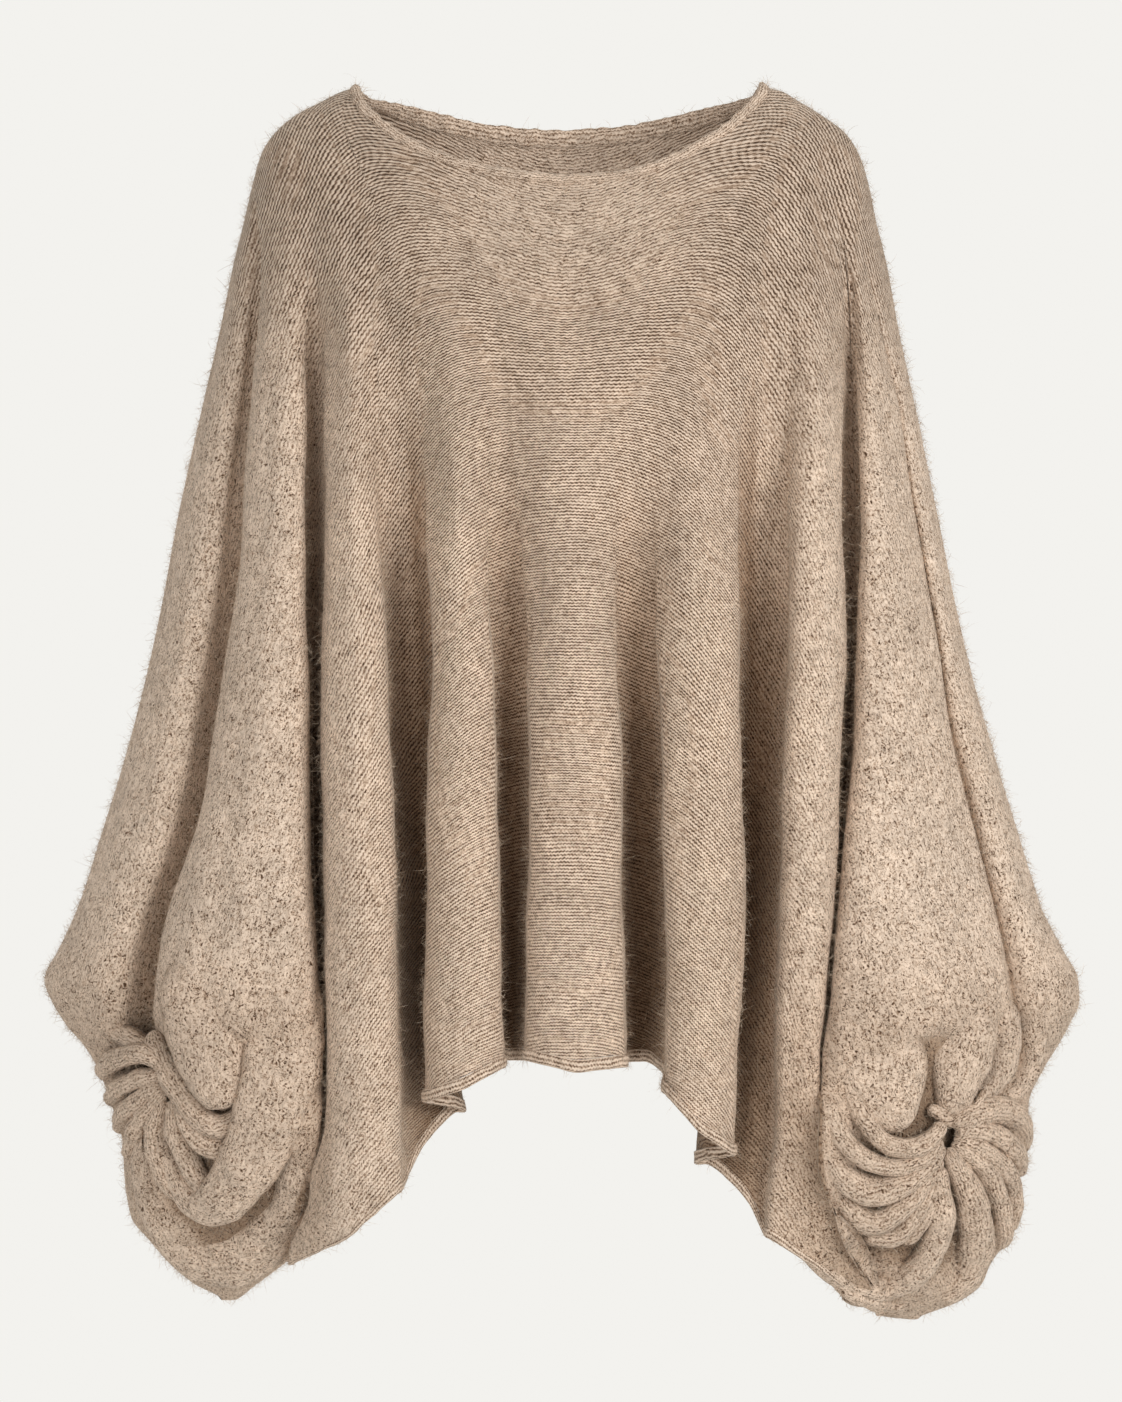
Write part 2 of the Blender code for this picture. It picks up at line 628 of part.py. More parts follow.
def main():
    for thing in list(bpy.data.objects):
        bpy.data.objects.remove(thing)
    sweater = fresh_collection("batwing_sweater")
    tools = fresh_collection("cutters")
    wool = cloth_material("knit_body", WOOL)
    trim = cloth_material("knit_trim", WOOL_DEEP)

    # The knitted band stands on the neck, so the panels' own edge lies below it.
    def lowered(neck):
        return tuple((x * 0.995, z - (BAND_HEIGHT + GAP) * (0.45 if i in (0, len(neck) - 1) else 0.9)) for i, (x, z) in enumerate(neck))

    sides = {}
    for word, hand_y, ridges, valleys, hem, neck, form in (
        ("front", -1, FRONT_RIDGES, FRONT_VALLEYS, FRONT_HEM, FRONT_NECK, FRONT_FORM),
        ("back", 1, BACK_RIDGES, BACK_VALLEYS, BACK_HEM, BACK_NECK, BACK_FORM),
    ):
        columns = columns_of(ridges, valleys, hem, form)
        neck_edge = lowered(neck)
        grid = panel_points(columns, neck_edge, hand_y, ROWS)
        sewn_top = np.array([not neck_edge[0][0] < c.top_x < neck_edge[-1][0] for c in columns])
        sewn_end = np.array([c.tuck_in == 0.0 for c in columns])
        grid = seam_lips(grid, sewn_top, sewn_end, hand_y)
        free = np.flatnonzero(~sewn_end)
        whole, first, last = with_hem_rows(grid, free[0] - 1, free[-1] + 1)
        sheet = sheet_object(f"{word}_sheet", whole, tools, wool, hand_y)
        thicken(sheet, WALL)
        settle(sheet)
        trim_to_seam(sheet, hand_y)
        count = whole.shape[0] * whole.shape[1]
        flat = np.array([v.co for v in sheet.data.vertices])
        outer, inner = (flat[n * count : (n + 1) * count].reshape(whole.shape) for n in (0, 1))
        bpy.data.objects.remove(sheet)
        # the two rims on either side of the hem band's gap run side by side
        away, hem_cols = inner - outer, slice(first, last + 1)
        for a, b in (((-3, hem_cols), (-2, hem_cols)), ((slice(None), first - 1), (slice(None), first)), ((slice(None), last), (slice(None), last + 1))):
            away[a] = away[b] = (away[a] + away[b]) / 2
        inner = outer + away
        low = hand_y * inner[:, :, 1] < GAP / 2 * MM
        inner[:, :, 1][low] = hand_y * GAP / 2 * MM
        cells = np.ones((whole.shape[0] - 1, whole.shape[1] - 1), bool)
        band_cells = ~cells
        band_cells[-1, first:last] = True
        cells[-2:, first - 1 : last + 1] = False
        if hand_y < 0:
            for name, cx, cz in CUFFS:
                cx, _, cz = sighted(cx, -75.0, cz)
                block = cuff_block(whole, cx, cz)
                cells[block[0] : block[1], block[2] : block[3]] = False
                cuff_piece(name, outer / MM, inner / MM, block, cx, cz, sweater, trim)
        shell_piece(f"{word}_panel", outer, inner, cells, sweater, wool)
        shell_piece(f"hem_band_{word}", outer, inner, band_cells, sweater, trim)
        keep = [c for c in range(whole.shape[1]) if c not in (first, last)]
        sides[word] = ((outer + inner) / 2 / MM)[:, keep], sewn_top

    # Neckband: a rounded strip swept round the neck, just above the panels' edges.
    loop, ups = [], []
    for word, step in (("front", 1), ("back", -1)):
        middle, sewn_top = sides[word]
        cols = np.flatnonzero(~sewn_top)
        corner = middle[0, cols[0] - 1 if step > 0 else cols[-1] + 1]
        loop.append(np.array([corner[0], 0.0, corner[2]]))
        ups.append(np.array([-0.25 * step * -1, 0.0, 1.0]))
        for c in cols[::step]:
            loop.append(middle[0, c])
            ups.append((middle[0, c] - middle[2, c]) / np.linalg.norm(middle[0, c] - middle[2, c]))
    loop, ups = even_ring(np.array(loop), NECK_STEPS), even_ring(np.array(ups), NECK_STEPS, np.array(loop))
    for _ in range(3):
        ups = (np.roll(ups, 1, 0) + 2 * ups + np.roll(ups, -1, 0)) / 4
    runs = np.roll(loop, -1, 0) - np.roll(loop, 1, 0)
    runs /= np.linalg.norm(runs, axis=1)[:, None]
    ups -= runs * (ups * runs).sum(axis=1)[:, None]
    ups /= np.linalg.norm(ups, axis=1)[:, None]
    outs = np.cross(runs, ups)
    mesh = bmesh.new()
    turn = np.linspace(0, 2 * math.pi, BAND_SIDES, endpoint=False)
    rings = [
        [mesh.verts.new(p * MM) for p in loop + ups * (GAP + 0.7 + BAND_HEIGHT / 2 * (1 + math.sin(a))) + outs * math.cos(a) * BAND_THICK / 2]
        for a in turn
    ]
    for i in range(BAND_SIDES):
        for c in range(NECK_STEPS):
            j, d = (i + 1) % BAND_SIDES, (c + 1) % NECK_STEPS
            mesh.faces.new((rings[i][c], rings[i][d], rings[j][d], rings[j][c]))
    bmesh.ops.recalc_face_normals(mesh, faces=mesh.faces)
    data = bpy.data.meshes.new("neckband")
    mesh.to_mesh(data)
    mesh.free()
    data.materials.append(trim)
    sweater.objects.link(bpy.data.objects.new("neckband", data))


main()
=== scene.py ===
"""Looks of the oversized batwing sweater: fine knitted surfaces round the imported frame.

Lengths are in millimetres until they become a mesh. -Y is the front. Heights and widths
in the tables are as sighted on the plane of the side seams from SIGHT in front of it at
eye level EYE_Z; sighted() moves each point to where it stands in depth.
"""

import math

import bpy
import numpy as np
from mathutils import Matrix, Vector


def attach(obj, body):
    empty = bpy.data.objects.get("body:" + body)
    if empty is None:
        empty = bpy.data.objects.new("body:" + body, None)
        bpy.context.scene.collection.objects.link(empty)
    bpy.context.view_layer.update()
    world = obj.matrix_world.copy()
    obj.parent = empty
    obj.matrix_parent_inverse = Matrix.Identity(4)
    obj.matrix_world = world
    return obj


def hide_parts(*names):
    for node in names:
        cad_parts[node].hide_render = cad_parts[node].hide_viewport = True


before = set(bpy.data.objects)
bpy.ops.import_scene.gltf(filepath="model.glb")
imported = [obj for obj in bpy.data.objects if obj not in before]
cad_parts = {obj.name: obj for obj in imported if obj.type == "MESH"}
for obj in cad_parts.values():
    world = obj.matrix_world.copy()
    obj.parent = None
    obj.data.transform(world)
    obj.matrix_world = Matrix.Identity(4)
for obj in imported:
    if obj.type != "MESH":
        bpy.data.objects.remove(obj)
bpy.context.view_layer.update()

MM = 0.001
WALL = 2.4
SIGHT = 3200.0
EYE_Z = -444.6
PX = 0.73  # millimetres on the seam plane for each unit of the cuffs' tables
PX_X, PX_Z = 560.0, 92.0
HEM_HEIGHT = 9.0
FINE = 1.0  # how finely the surfaces are cut
STITCH_PITCH = 2.9  # millimetres
SEED = 7

# ------------------------------------------------------------------ tables
SIDES = (
    # z, left x, right x
    (3, -150, 152),
    (0, -160, 163),
    (-6, -172, 173),
    (-17, -193, 191),
    (-31, -209, 209),
    (-45, -218, 218),
    (-66, -224, 225),
    (-96, -231, 231),
    (-120, -237, 237),
    (-173, -248, 247),
    (-225, -260, 258),
    (-316, -280, 277),
    (-371, -290, 288),
    (-431, -303, 302),
    (-488, -318, 318),
    (-540, -334, 333),
    (-593, -350, 350),
    (-626, -366, 367),
    (-648, -376, 378),
    (-663, -371, 379),
    (-680, -360, 372),
    (-695, -347, 364),
    (-713, -337, 353),
    (-740, -327, 342),
    (-768, -319, 342),
    (-789, -318, 335),
    (-821, -313, 335),
    (-839, -299, 326),
    (-856, -284, 314),
    (-870, -267, 308),
    (-882, -247, 293),
    (-894, -247, 262),
)
FRONT_NECK = (
    # x, z
    (-151, 3),
    (-147, 0),
    (-142, -7),
    (-126, -22),
    (-104, -35),
    (-80, -44),
    (-50, -51.5),
    (-18, -56),
    (6, -57.5),
    (43, -54.5),
    (74, -47),
    (104, -32),
    (126, -19),
    (141, -3),
    (149, 3),
)
BACK_NECK = (
    # x, z
    (-151, 3),
    (-142, 1),
    (-111, -7.5),
    (-80, -16),
    (-50, -22),
    (-3, -26),
    (43, -23),
    (89, -14.5),
    (120, -6),
    (141, 1),
    (149, 3),
)
DEPTHS = (
    # z, front, back
    (3, 28, 30),
    (-20, 52, 66),
    (-62, 82, 92),
    (-120, 108, 112),
    (-225, 130, 124),
    (-329, 138, 126),
    (-420, 142, 128),
    (-502, 146, 128),
    (-631, 150, 128),
    (-894, 150, 122),
)
SIDE_ROUND = 2.4
LEVELS = (-120, -225, -329, -420, -502, -631, -700)
FRONT_RIDGES = (
    # name, top x left, left edge at LEVELS, top x right, right edge at LEVELS
    ("sleeve_l", -224, (-214, -225, -234, -246, -258, -292, -300), -202, (-184, -185, -185, -184, -183, -177, -174)),
    ("side_l", -192, (-172, -172, -172, -173, -174, -172, -171), -158, (-142, -134, -131, -126, -122, -119, -117)),
    ("flank_l", -144, (-111, -103, -97, -94, -96, -99, -101), -88, (-63, -53, -53, -50, -47, -44, -40)),
    ("middle", -69, (-44, -34, -28, -22, -22, -24, -26), 62, (42, 37, 39, 42, 46, 48, 50)),
    ("flank_r", 80, (73, 62, 70, 72, 74, 76, 77), 142, (130, 130, 130, 130, 132, 133, 130)),
    ("side_r", 156, (161, 168, 167, 166, 163, 159, 157), 184, (203, 207, 207, 210, 205, 197, 189)),
    ("sleeve_r", 194, (212, 216, 218, 215, 210, 201, 193), 222, (221, 244, 262, 277, 292, 324, 334)),
)
FRONT_VALLEYS = (
    # name, depth at LEVELS and the hem, tuck of the floor
    ("outer_l", (14, 40, 50, 55, 57, 56, 42, 0), (0, 0, 0, 0, 0, 0, 0, 0)),
    ("arm_l", (5, 45, 72, 80, 84, 80, 72, 34), (0, 0, 0, 0, 0, 0, 0, 0)),
    ("left", (0, 20, 45, 62, 70, 76, 78, 78), (0, 0, 2, 4, 8, 16, 26, 34)),
    ("inner_l", (0, 10, 30, 46, 58, 68, 72, 74), (0, 0, 0, 0, 0, 0, -2, -3)),
    ("inner_r", (0, 10, 30, 46, 58, 68, 72, 74), (0, 0, 0, 0, 0, 0, -2, -4)),
    ("right", (1, 24, 50, 62, 70, 76, 78, 78), (0, 0, -2, -4, -8, -18, -26, -34)),
    ("arm_r", (4, 40, 66, 76, 84, 84, 64, 14), (0, 0, 0, 0, 0, 0, 0, 0)),
    ("outer_r", (2, 12, 18, 22, 26, 30, 22, 0), (0, 0, 0, 0, 0, 0, 0, 0)),
)
FRONT_HEM = (
    # left x, z, crest z, right x, z, valley floor z
    ("sleeve_l", None, None, None, -202, -856, -853),
    ("side_l", -197, -856, -837, -115, -802, -745),
    ("flank_l", -99, -738, -728, -40, -712, -707),
    ("middle", -26, -707, -716, 49, -712, -708),
    ("flank_r", 75, -730, -759, 127, -777, -783),
    ("side_r", 149, -835, -860, 230, -890, -893),
    ("sleeve_r", 237, -894, None, None, None, None),
)
BACK_RIDGES = (
    ("sleeve_l", -224, (-215, -228, -240, -252, -266, -300, -306), -196, (-190, -196, -202, -206, -210, -212, -212)),
    ("side_l", -190, (-182, -182, -186, -190, -192, -194, -194), -158, (-138, -136, -134, -132, -130, -128, -128)),
    ("flank_l", -142, (-122, -116, -112, -110, -108, -106, -106), -74, (-66, -62, -60, -58, -56, -54, -54)),
    ("middle", -60, (-48, -42, -38, -36, -34, -32, -32), 30, (26, 28, 30, 32, 34, 36, 36)),
    ("flank_r", 46, (46, 48, 52, 54, 56, 58, 58), 140, (112, 114, 116, 118, 120, 122, 122)),
    ("side_r", 154, (130, 134, 136, 140, 142, 146, 146), 188, (186, 188, 194, 200, 204, 210, 214)),
    ("sleeve_r", 196, (198, 204, 212, 218, 224, 232, 236), 225, (228, 244, 256, 268, 280, 306, 314)),
)
BACK_VALLEYS = (
    ("outer_l", (0, 3, 6, 9, 12, 16, 16, 12), (0,) * 8),
    ("arm_l", (0, 16, 34, 44, 50, 52, 48, 30), (0,) * 8),
    ("left", (0, 8, 24, 38, 46, 52, 54, 54), (0, 0, 0, 0, 2, 4, 6, 8)),
    ("inner_l", (0, 6, 20, 32, 42, 50, 52, 54), (0,) * 8),
    ("inner_r", (0, 8, 22, 34, 44, 50, 52, 54), (0, 0, 0, 0, -2, -4, -6, -8)),
    ("right", (0, 8, 26, 38, 46, 52, 54, 54), (0,) * 8),
    ("arm_r", (0, 14, 30, 42, 48, 52, 48, 30), (0,) * 8),
    ("outer_r", (0, 3, 6, 9, 12, 16, 16, 12), (0,) * 8),
)
BACK_HEM = (
    ("sleeve_l", None, None, None, -202, -856, -850),
    ("side_l", -190, -838, -800, -134, -752, -740),
    ("flank_l", -112, -726, -712, -58, -702, -698),
    ("middle", -38, -696, -694, 34, -696, -698),
    ("flank_r", 54, -702, -714, 118, -742, -756),
    ("side_r", 140, -778, -834, 206, -876, -886),
    ("sleeve_r", 237, -894, None, None, None, None),
)
BAG_L = ((-247, -882), (-238, -882), (-221, -870), (-202, -856))
BAG_R = ((237, -894), (258, -896), (276, -892), (290, -884))
BAG_ROUND_FROM = -735.0
# Across a ridge: place across its width, share of the valley's depth.
# The last number is the share while the valley is still shallow.
FRONT_FORM = (
    (0.0, 0.42, 0.74),
    (0.045, 0.22, 0.66),
    (0.15, 0.105, 0.43),
    (0.32, 0.03, 0.14),
    (0.5, 0.0, 0.0),
    (0.68, 0.03, 0.12),
    (0.85, 0.105, 0.37),
    (0.955, 0.22, 0.58),
    (1.0, 0.42, 0.67),
)
BACK_FORM = ((0.0, 0.45, 0.55), (0.10, 0.18, 0.36), (0.3, 0.03, 0.10), (0.7, 0.03, 0.10), (0.90, 0.18, 0.36), (1.0, 0.45, 0.55))
VALLEY_FORM = ((0.04, 0.72, 0.68), (0.30, 0.985, 0.88), (0.50, 1.0, 0.97), (0.70, 0.985, 0.94), (0.96, 0.72, 0.76))
OUTER_FORM = (0.0, 0.03, 0.08, 0.22, 0.46, 0.70, 0.88)
OUTER_SHARE = (0.0, 0.0, 0.0, 0.02, 0.10, 0.32, 0.68)
OUTER_SOFT = (0.0, 0.0, 0.0, 0.03, 0.16, 0.44, 0.80)
UNDERCUT = 5.0  # how far a ridge's side goes in under it at full depth
SPREAD = 17.0
NECK_DROP = 8.5  # the panels' top edge lies this far below the neckband's

# The gathered sleeve ends. Every pleat is a rounded fold; its places are x, z in the picture's
# own units (PX), its half width too, and its crest's rise over the sleeve is in millimetres.
GATHERS = (
    # name, x, z, how far round it the cloth is drawn
    ("left", 163, 1084, 95),
    ("right", 947, 1130, 105),
)
SUNK = (
    # x, z, radius, depth in mm: where the sleeve lies back behind the pleats
    (150, 1080, 56, 13),
    (190, 1130, 70, 15),
    (160, 1180, 52, 12),
    (225, 1170, 56, 14),
    (266, 1196, 46, 17),
    (222, 1236, 40, 14),
    (243, 1060, 26, 9),
    (930, 1150, 88, 14),
    (980, 1170, 62, 13),
    (960, 1235, 56, 12),
    (890, 1230, 52, 13),
    (942, 1060, 30, 11),
    (1006, 1090, 36, 8),
)


def rope(*rows):
    return rows


LEFT_FOLDS = (
    # the lobe over the gather, the inner and the outer swag
    rope((206, 930, 38, -16), (203, 968, 44, -7), (200, 1004, 47, 1), (205, 1040, 43, 6), (213, 1070, 36, 9), (219, 1096, 26, 9), (222, 1112, 15, 6)),
    rope((284, 970, 36, -18), (284, 1015, 40, -7), (281, 1062, 41, 3), (271, 1108, 38, 7), (255, 1150, 34, 8), (236, 1184, 29, 8), (213, 1206, 24, 7), (193, 1205, 18, 5), (179, 1187, 13, 4), (167, 1163, 11, 4), (158, 1140, 10, 4), (156, 1118, 9, 4), (163, 1100, 7, 2)),
    rope((303, 1075, 22, -16), (304, 1118, 21, -6), (303, 1163, 21, 0), (294, 1205, 24, 2), (272, 1240, 27, 3), (243, 1262, 31, 3), (214, 1267, 32, 3), (187, 1256, 29, 3), (164, 1233, 25, 3), (148, 1203, 21, 3), (140, 1174, 16, 3), (141, 1146, 12, 3), (149, 1122, 9, 2), (159, 1102, 7, 1)),
)
LEFT_PLEATS = (
    rope((146, 1036, 10, -6), (154, 1050, 11, 3), (165, 1068, 11.5, 7), (177, 1088, 12, 8), (189, 1106, 12.5, 8), (203, 1121, 12.5, 7), (218, 1128, 11.5, 5), (232, 1124, 10, 0), (242, 1112, 8, -6)),
    rope((178, 1102, 8, 3), (186, 1119, 11, 6), (197, 1136, 12, 6), (212, 1147, 12, 4), (228, 1150, 10, -2), (240, 1146, 8, -8)),
    rope((171, 1100, 7, 3), (174, 1118, 11, 6), (178, 1139, 12.5, 7), (186, 1160, 12.5, 5), (195, 1180, 12, 1), (203, 1198, 10, -6)),
    rope((164, 1098, 7, 4), (157, 1118, 11, 8), (156, 1140, 12.5, 8), (161, 1162, 12.5, 7), (169, 1183, 12, 4), (178, 1202, 10, -2)),
    rope((162, 1066, 7, 7), (150, 1054, 9, 10), (134, 1053, 10, 11), (118, 1058, 10.5, 10), (106, 1066, 10, 8), (101, 1075, 8, 4)),
    rope((163, 1074, 6, 6), (150, 1075, 8.5, 9), (134, 1081, 9.5, 11), (119, 1090, 9.5, 9), (110, 1100, 8, 5)),
    rope((165, 1082, 6, 6), (152, 1091, 8.5, 9), (138, 1102, 9.5, 11), (125, 1115, 9.5, 9), (118, 1128, 8, 5)),
    rope((165, 1090, 6, 5), (153, 1106, 8.5, 9), (142, 1123, 9.5, 10), (133, 1140, 9.5, 9), (129, 1155, 8, 4)),
    rope((88, 1026, 14, -14), (104, 1035, 12, -7), (121, 1041, 11, -1), (138, 1047, 10, 2), (154, 1060, 8, 2)),
)
RIGHT_FOLDS = (
    # the lobe over the gather and the folds above it, down the outer side
    rope((886, 985, 36, -20), (882, 1020, 44, -9), (880, 1055, 48, 1), (886, 1088, 46, 7), (897, 1112, 35, 9), (908, 1127, 22, 8)),
    rope((973, 985, 34, -20), (972, 1016, 37, -8), (968, 1046, 36, 1), (961, 1074, 30, 6), (955, 1098, 21, 8), (949, 1118, 11, 6)),
    rope((1012, 1005, 20, -16), (1011, 1035, 19, -4), (1006, 1062, 17, 3), (995, 1084, 13, 4), (981, 1100, 10, 4), (968, 1114, 7, 3)),
    rope((1044, 1010, 18, -14), (1040, 1040, 17, -3), (1032, 1070, 15, 3), (1019, 1092, 12, 3), (1003, 1104, 9, 1)),
    # the long roll that hangs lowest
    rope((940, 1166, 8, 3), (940, 1186, 11, 6), (942, 1212, 13, 8), (937, 1240, 14, 8), (925, 1264, 15, 8), (907, 1281, 15, 6), (886, 1291, 14, 3), (864, 1293, 13, 1), (844, 1284, 12, 0), (826, 1270, 11, -2), (808, 1254, 10, -7)),
    rope((836, 1285, 7, -3), (854, 1297, 8, 2), (874, 1305, 8.5, 3), (894, 1307, 8, 2), (914, 1303, 7, -4)),
)
RIGHT_PLEATS = (
    rope((846, 1086, 9, -5), (856, 1104, 10, 3), (869, 1126, 10, 7), (884, 1142, 10, 8), (901, 1149, 10, 9), (919, 1146, 10, 9), (933, 1136, 9, 8), (944, 1124, 7, 5)),
    rope((828, 1090, 9, -6), (832, 1112, 11, 2), (840, 1133, 11, 5), (853, 1151, 11, 6), (871, 1163, 10.5, 7), (891, 1167, 10, 7), (911, 1164, 10, 7), (929, 1154, 9, 6), (942, 1139, 7, 4)),
    rope((826, 1142, 9, -6), (834, 1164, 13, 2), (850, 1183, 15, 5), (872, 1191, 15, 6), (896, 1187, 14, 7), (916, 1176, 12, 6), (933, 1159, 9, 5), (944, 1144, 7, 3)),
    rope((836, 1190, 8, -6), (848, 1208, 12, 2), (864, 1224, 14, 4), (883, 1223, 13, 5), (900, 1211, 12, 5), (916, 1196, 10, 5), (930, 1178, 8, 4), (942, 1158, 7, 2)),
    rope((862, 1236, 9, -4), (880, 1240, 11, 1), (898, 1237, 11, 3), (912, 1223, 10, 4), (923, 1205, 9, 4), (932, 1186, 8, 3), (942, 1164, 6, 1)),
    rope((942, 1166, 6, 1), (935, 1186, 8, 2), (929, 1208, 9, 3), (920, 1230, 9, 2), (906, 1246, 8, -3)),
    rope((948, 1148, 7, 4), (954, 1162, 10, 8), (965, 1184, 14, 10), (973, 1210, 17, 11), (977, 1238, 18, 10), (973, 1264, 17, 8), (960, 1286, 16, 5), (938, 1300, 14, 2)),
    rope((952, 1144, 7, 4), (965, 1151, 9, 9), (981, 1166, 10, 10), (992, 1186, 10.5, 10), (1000, 1209, 10.5, 9), (1005, 1231, 10, 6), (1002, 1247, 9, 2)),
    rope((954, 1139, 7, 4.5), (971, 1144, 9, 10), (989, 1154, 10, 10), (1003, 1170, 10.5, 10), (1012, 1190, 10.5, 8), (1014, 1212, 10, 5), (1011, 1230, 9, 1)),
    rope((955, 1134, 7, 4.5), (973, 1131, 9, 10), (992, 1135, 11, 10), (1009, 1146, 11, 9), (1019, 1162, 10.5, 6), (1022, 1178, 9, 2)),
    rope((952, 1127, 7, 5), (965, 1118, 10, 10), (983, 1110, 13, 11), (1003, 1110, 14, 10), (1019, 1120, 13, 7), (1026, 1136, 12, 4), (1026, 1152, 9, 0)),
    rope((930, 1109, 5, -3), (938, 1112, 5.5, 1), (946, 1117, 6, 2), (952, 1127, 6, 1)),
    rope((985, 1088, 4, 6), (975, 1102, 4, 8), (966, 1118, 4, 8), (958, 1136, 3.5, 7)),
)


# ------------------------------------------------------------------ tools
def along(knots, values, at):
    """Smooth curve through values at rising knots, with no overshoot between them."""
    k, v, at = (np.asarray(a, float) for a in (knots, values, at))
    if k[0] > k[-1]:
        k, v = k[::-1], v[::-1]
    h, d = np.diff(k), np.diff(v) / np.diff(k)
    m = np.empty_like(v)
    m[0], m[-1] = d[0], d[-1]
    w1, w2 = 2 * h[1:] + h[:-1], h[1:] + 2 * h[:-1]
    with np.errstate(divide="ignore", invalid="ignore"):
        inner = (w1 + w2) / (w1 / d[:-1] + w2 / d[1:])
    m[1:-1] = np.where(d[:-1] * d[1:] > 0, inner, 0.0)
    at = np.clip(at, k[0], k[-1])
    i = np.clip(np.searchsorted(k, at, side="right") - 1, 0, len(k) - 2)
    t = (at - k[i]) / h[i]
    return (
        v[i] * (1 + 2 * t) * (1 - t) ** 2
        + m[i] * h[i] * t * (1 - t) ** 2
        + v[i + 1] * t * t * (3 - 2 * t)
        + m[i + 1] * h[i] * t * t * (t - 1)
    )


def ease(t):
    t = np.clip(t, 0.0, 1.0)
    return t * t * (3 - 2 * t)


def side_x(z, hand):
    rows = np.array(SIDES, float)
    return along(rows[:, 0], rows[:, 1 if hand < 0 else 2], z)


def base_y(x, z, hand_y):
    rows = np.array(DEPTHS, float)
    deep = along(rows[:, 0], rows[:, 1 if hand_y < 0 else 2], z)
    half = np.where(x < 0, -side_x(z, -1), side_x(z, 1))
    inside = np.clip(1 - np.abs(x / half) ** SIDE_ROUND, 0.0, 1.0)
    return hand_y * deep * np.sqrt(inside)


def top_line(x, neck):
    rows = np.array(SIDES[:9], float)
    line = np.array(neck, float)
    left = along(rows[::-1, 1], rows[::-1, 0], x)
    right = along(rows[:, 2], rows[:, 0], x)
    middle = along(line[:, 0], line[:, 1], x)
    return np.where(x < line[0, 0], left, np.where(x > line[-1, 0], right, middle))


def sighted(x, y, z):
    k = 1 + y / SIGHT
    return x * k, y, EYE_Z + (z - EYE_Z) * k


def seen(p):
    """The sighted x, z of true points: the other way round from sighted()."""
    k = 1 + p[..., 1] / SIGHT
    return p[..., 0] / k, EYE_Z + (p[..., 2] - EYE_Z) / k


class Waves:
    """A smooth uneven field: a few dozen waves in all directions, about one wavelength."""

    def __init__(self, length, seed, stretch=(1.0, 1.0, 1.0), count=28):
        r = np.random.default_rng(SEED * 1000 + seed)
        d = r.normal(size=(count, 3))
        d /= np.linalg.norm(d, axis=1)[:, None]
        self.k = d * (2 * math.pi / length) * r.uniform(0.6, 1.5, (count, 1)) / np.array(stretch)
        self.p = r.uniform(0, 2 * math.pi, count)
        self.a = math.sqrt(2.0 / count)

    def __call__(self, p):
        flat = p.reshape(-1, 3)
        out = np.zeros(len(flat))
        for k, f in zip(self.k, self.p):
            out += np.sin(flat @ k + f)
        return (out * self.a).reshape(p.shape[:-1])


# ------------------------------------------------------------------ the panels
class Column:
    def __init__(self, top_x, edge, depth, share, end_x, end_z, tuck_in, zone, soft=None):
        self.top_x, self.edge, self.depth, self.share = top_x, edge, depth, share
        self.soft = share if soft is None else soft
        self.behind = self.shadow = 0.0
        self.end_x, self.end_z, self.tuck_in, self.zone = end_x, end_z, tuck_in, zone


def undercut(depth):
    """How far a ridge's side goes in under it; a shallow valley's sides open out instead."""
    return UNDERCUT * np.clip((depth - 22.0) / 48.0, 0, 1) - 2.2 * np.clip(1 - depth / 28.0, 0, 1)


def between(a, b, f):
    return lambda z: a(z) + (b(z) - a(z)) * f


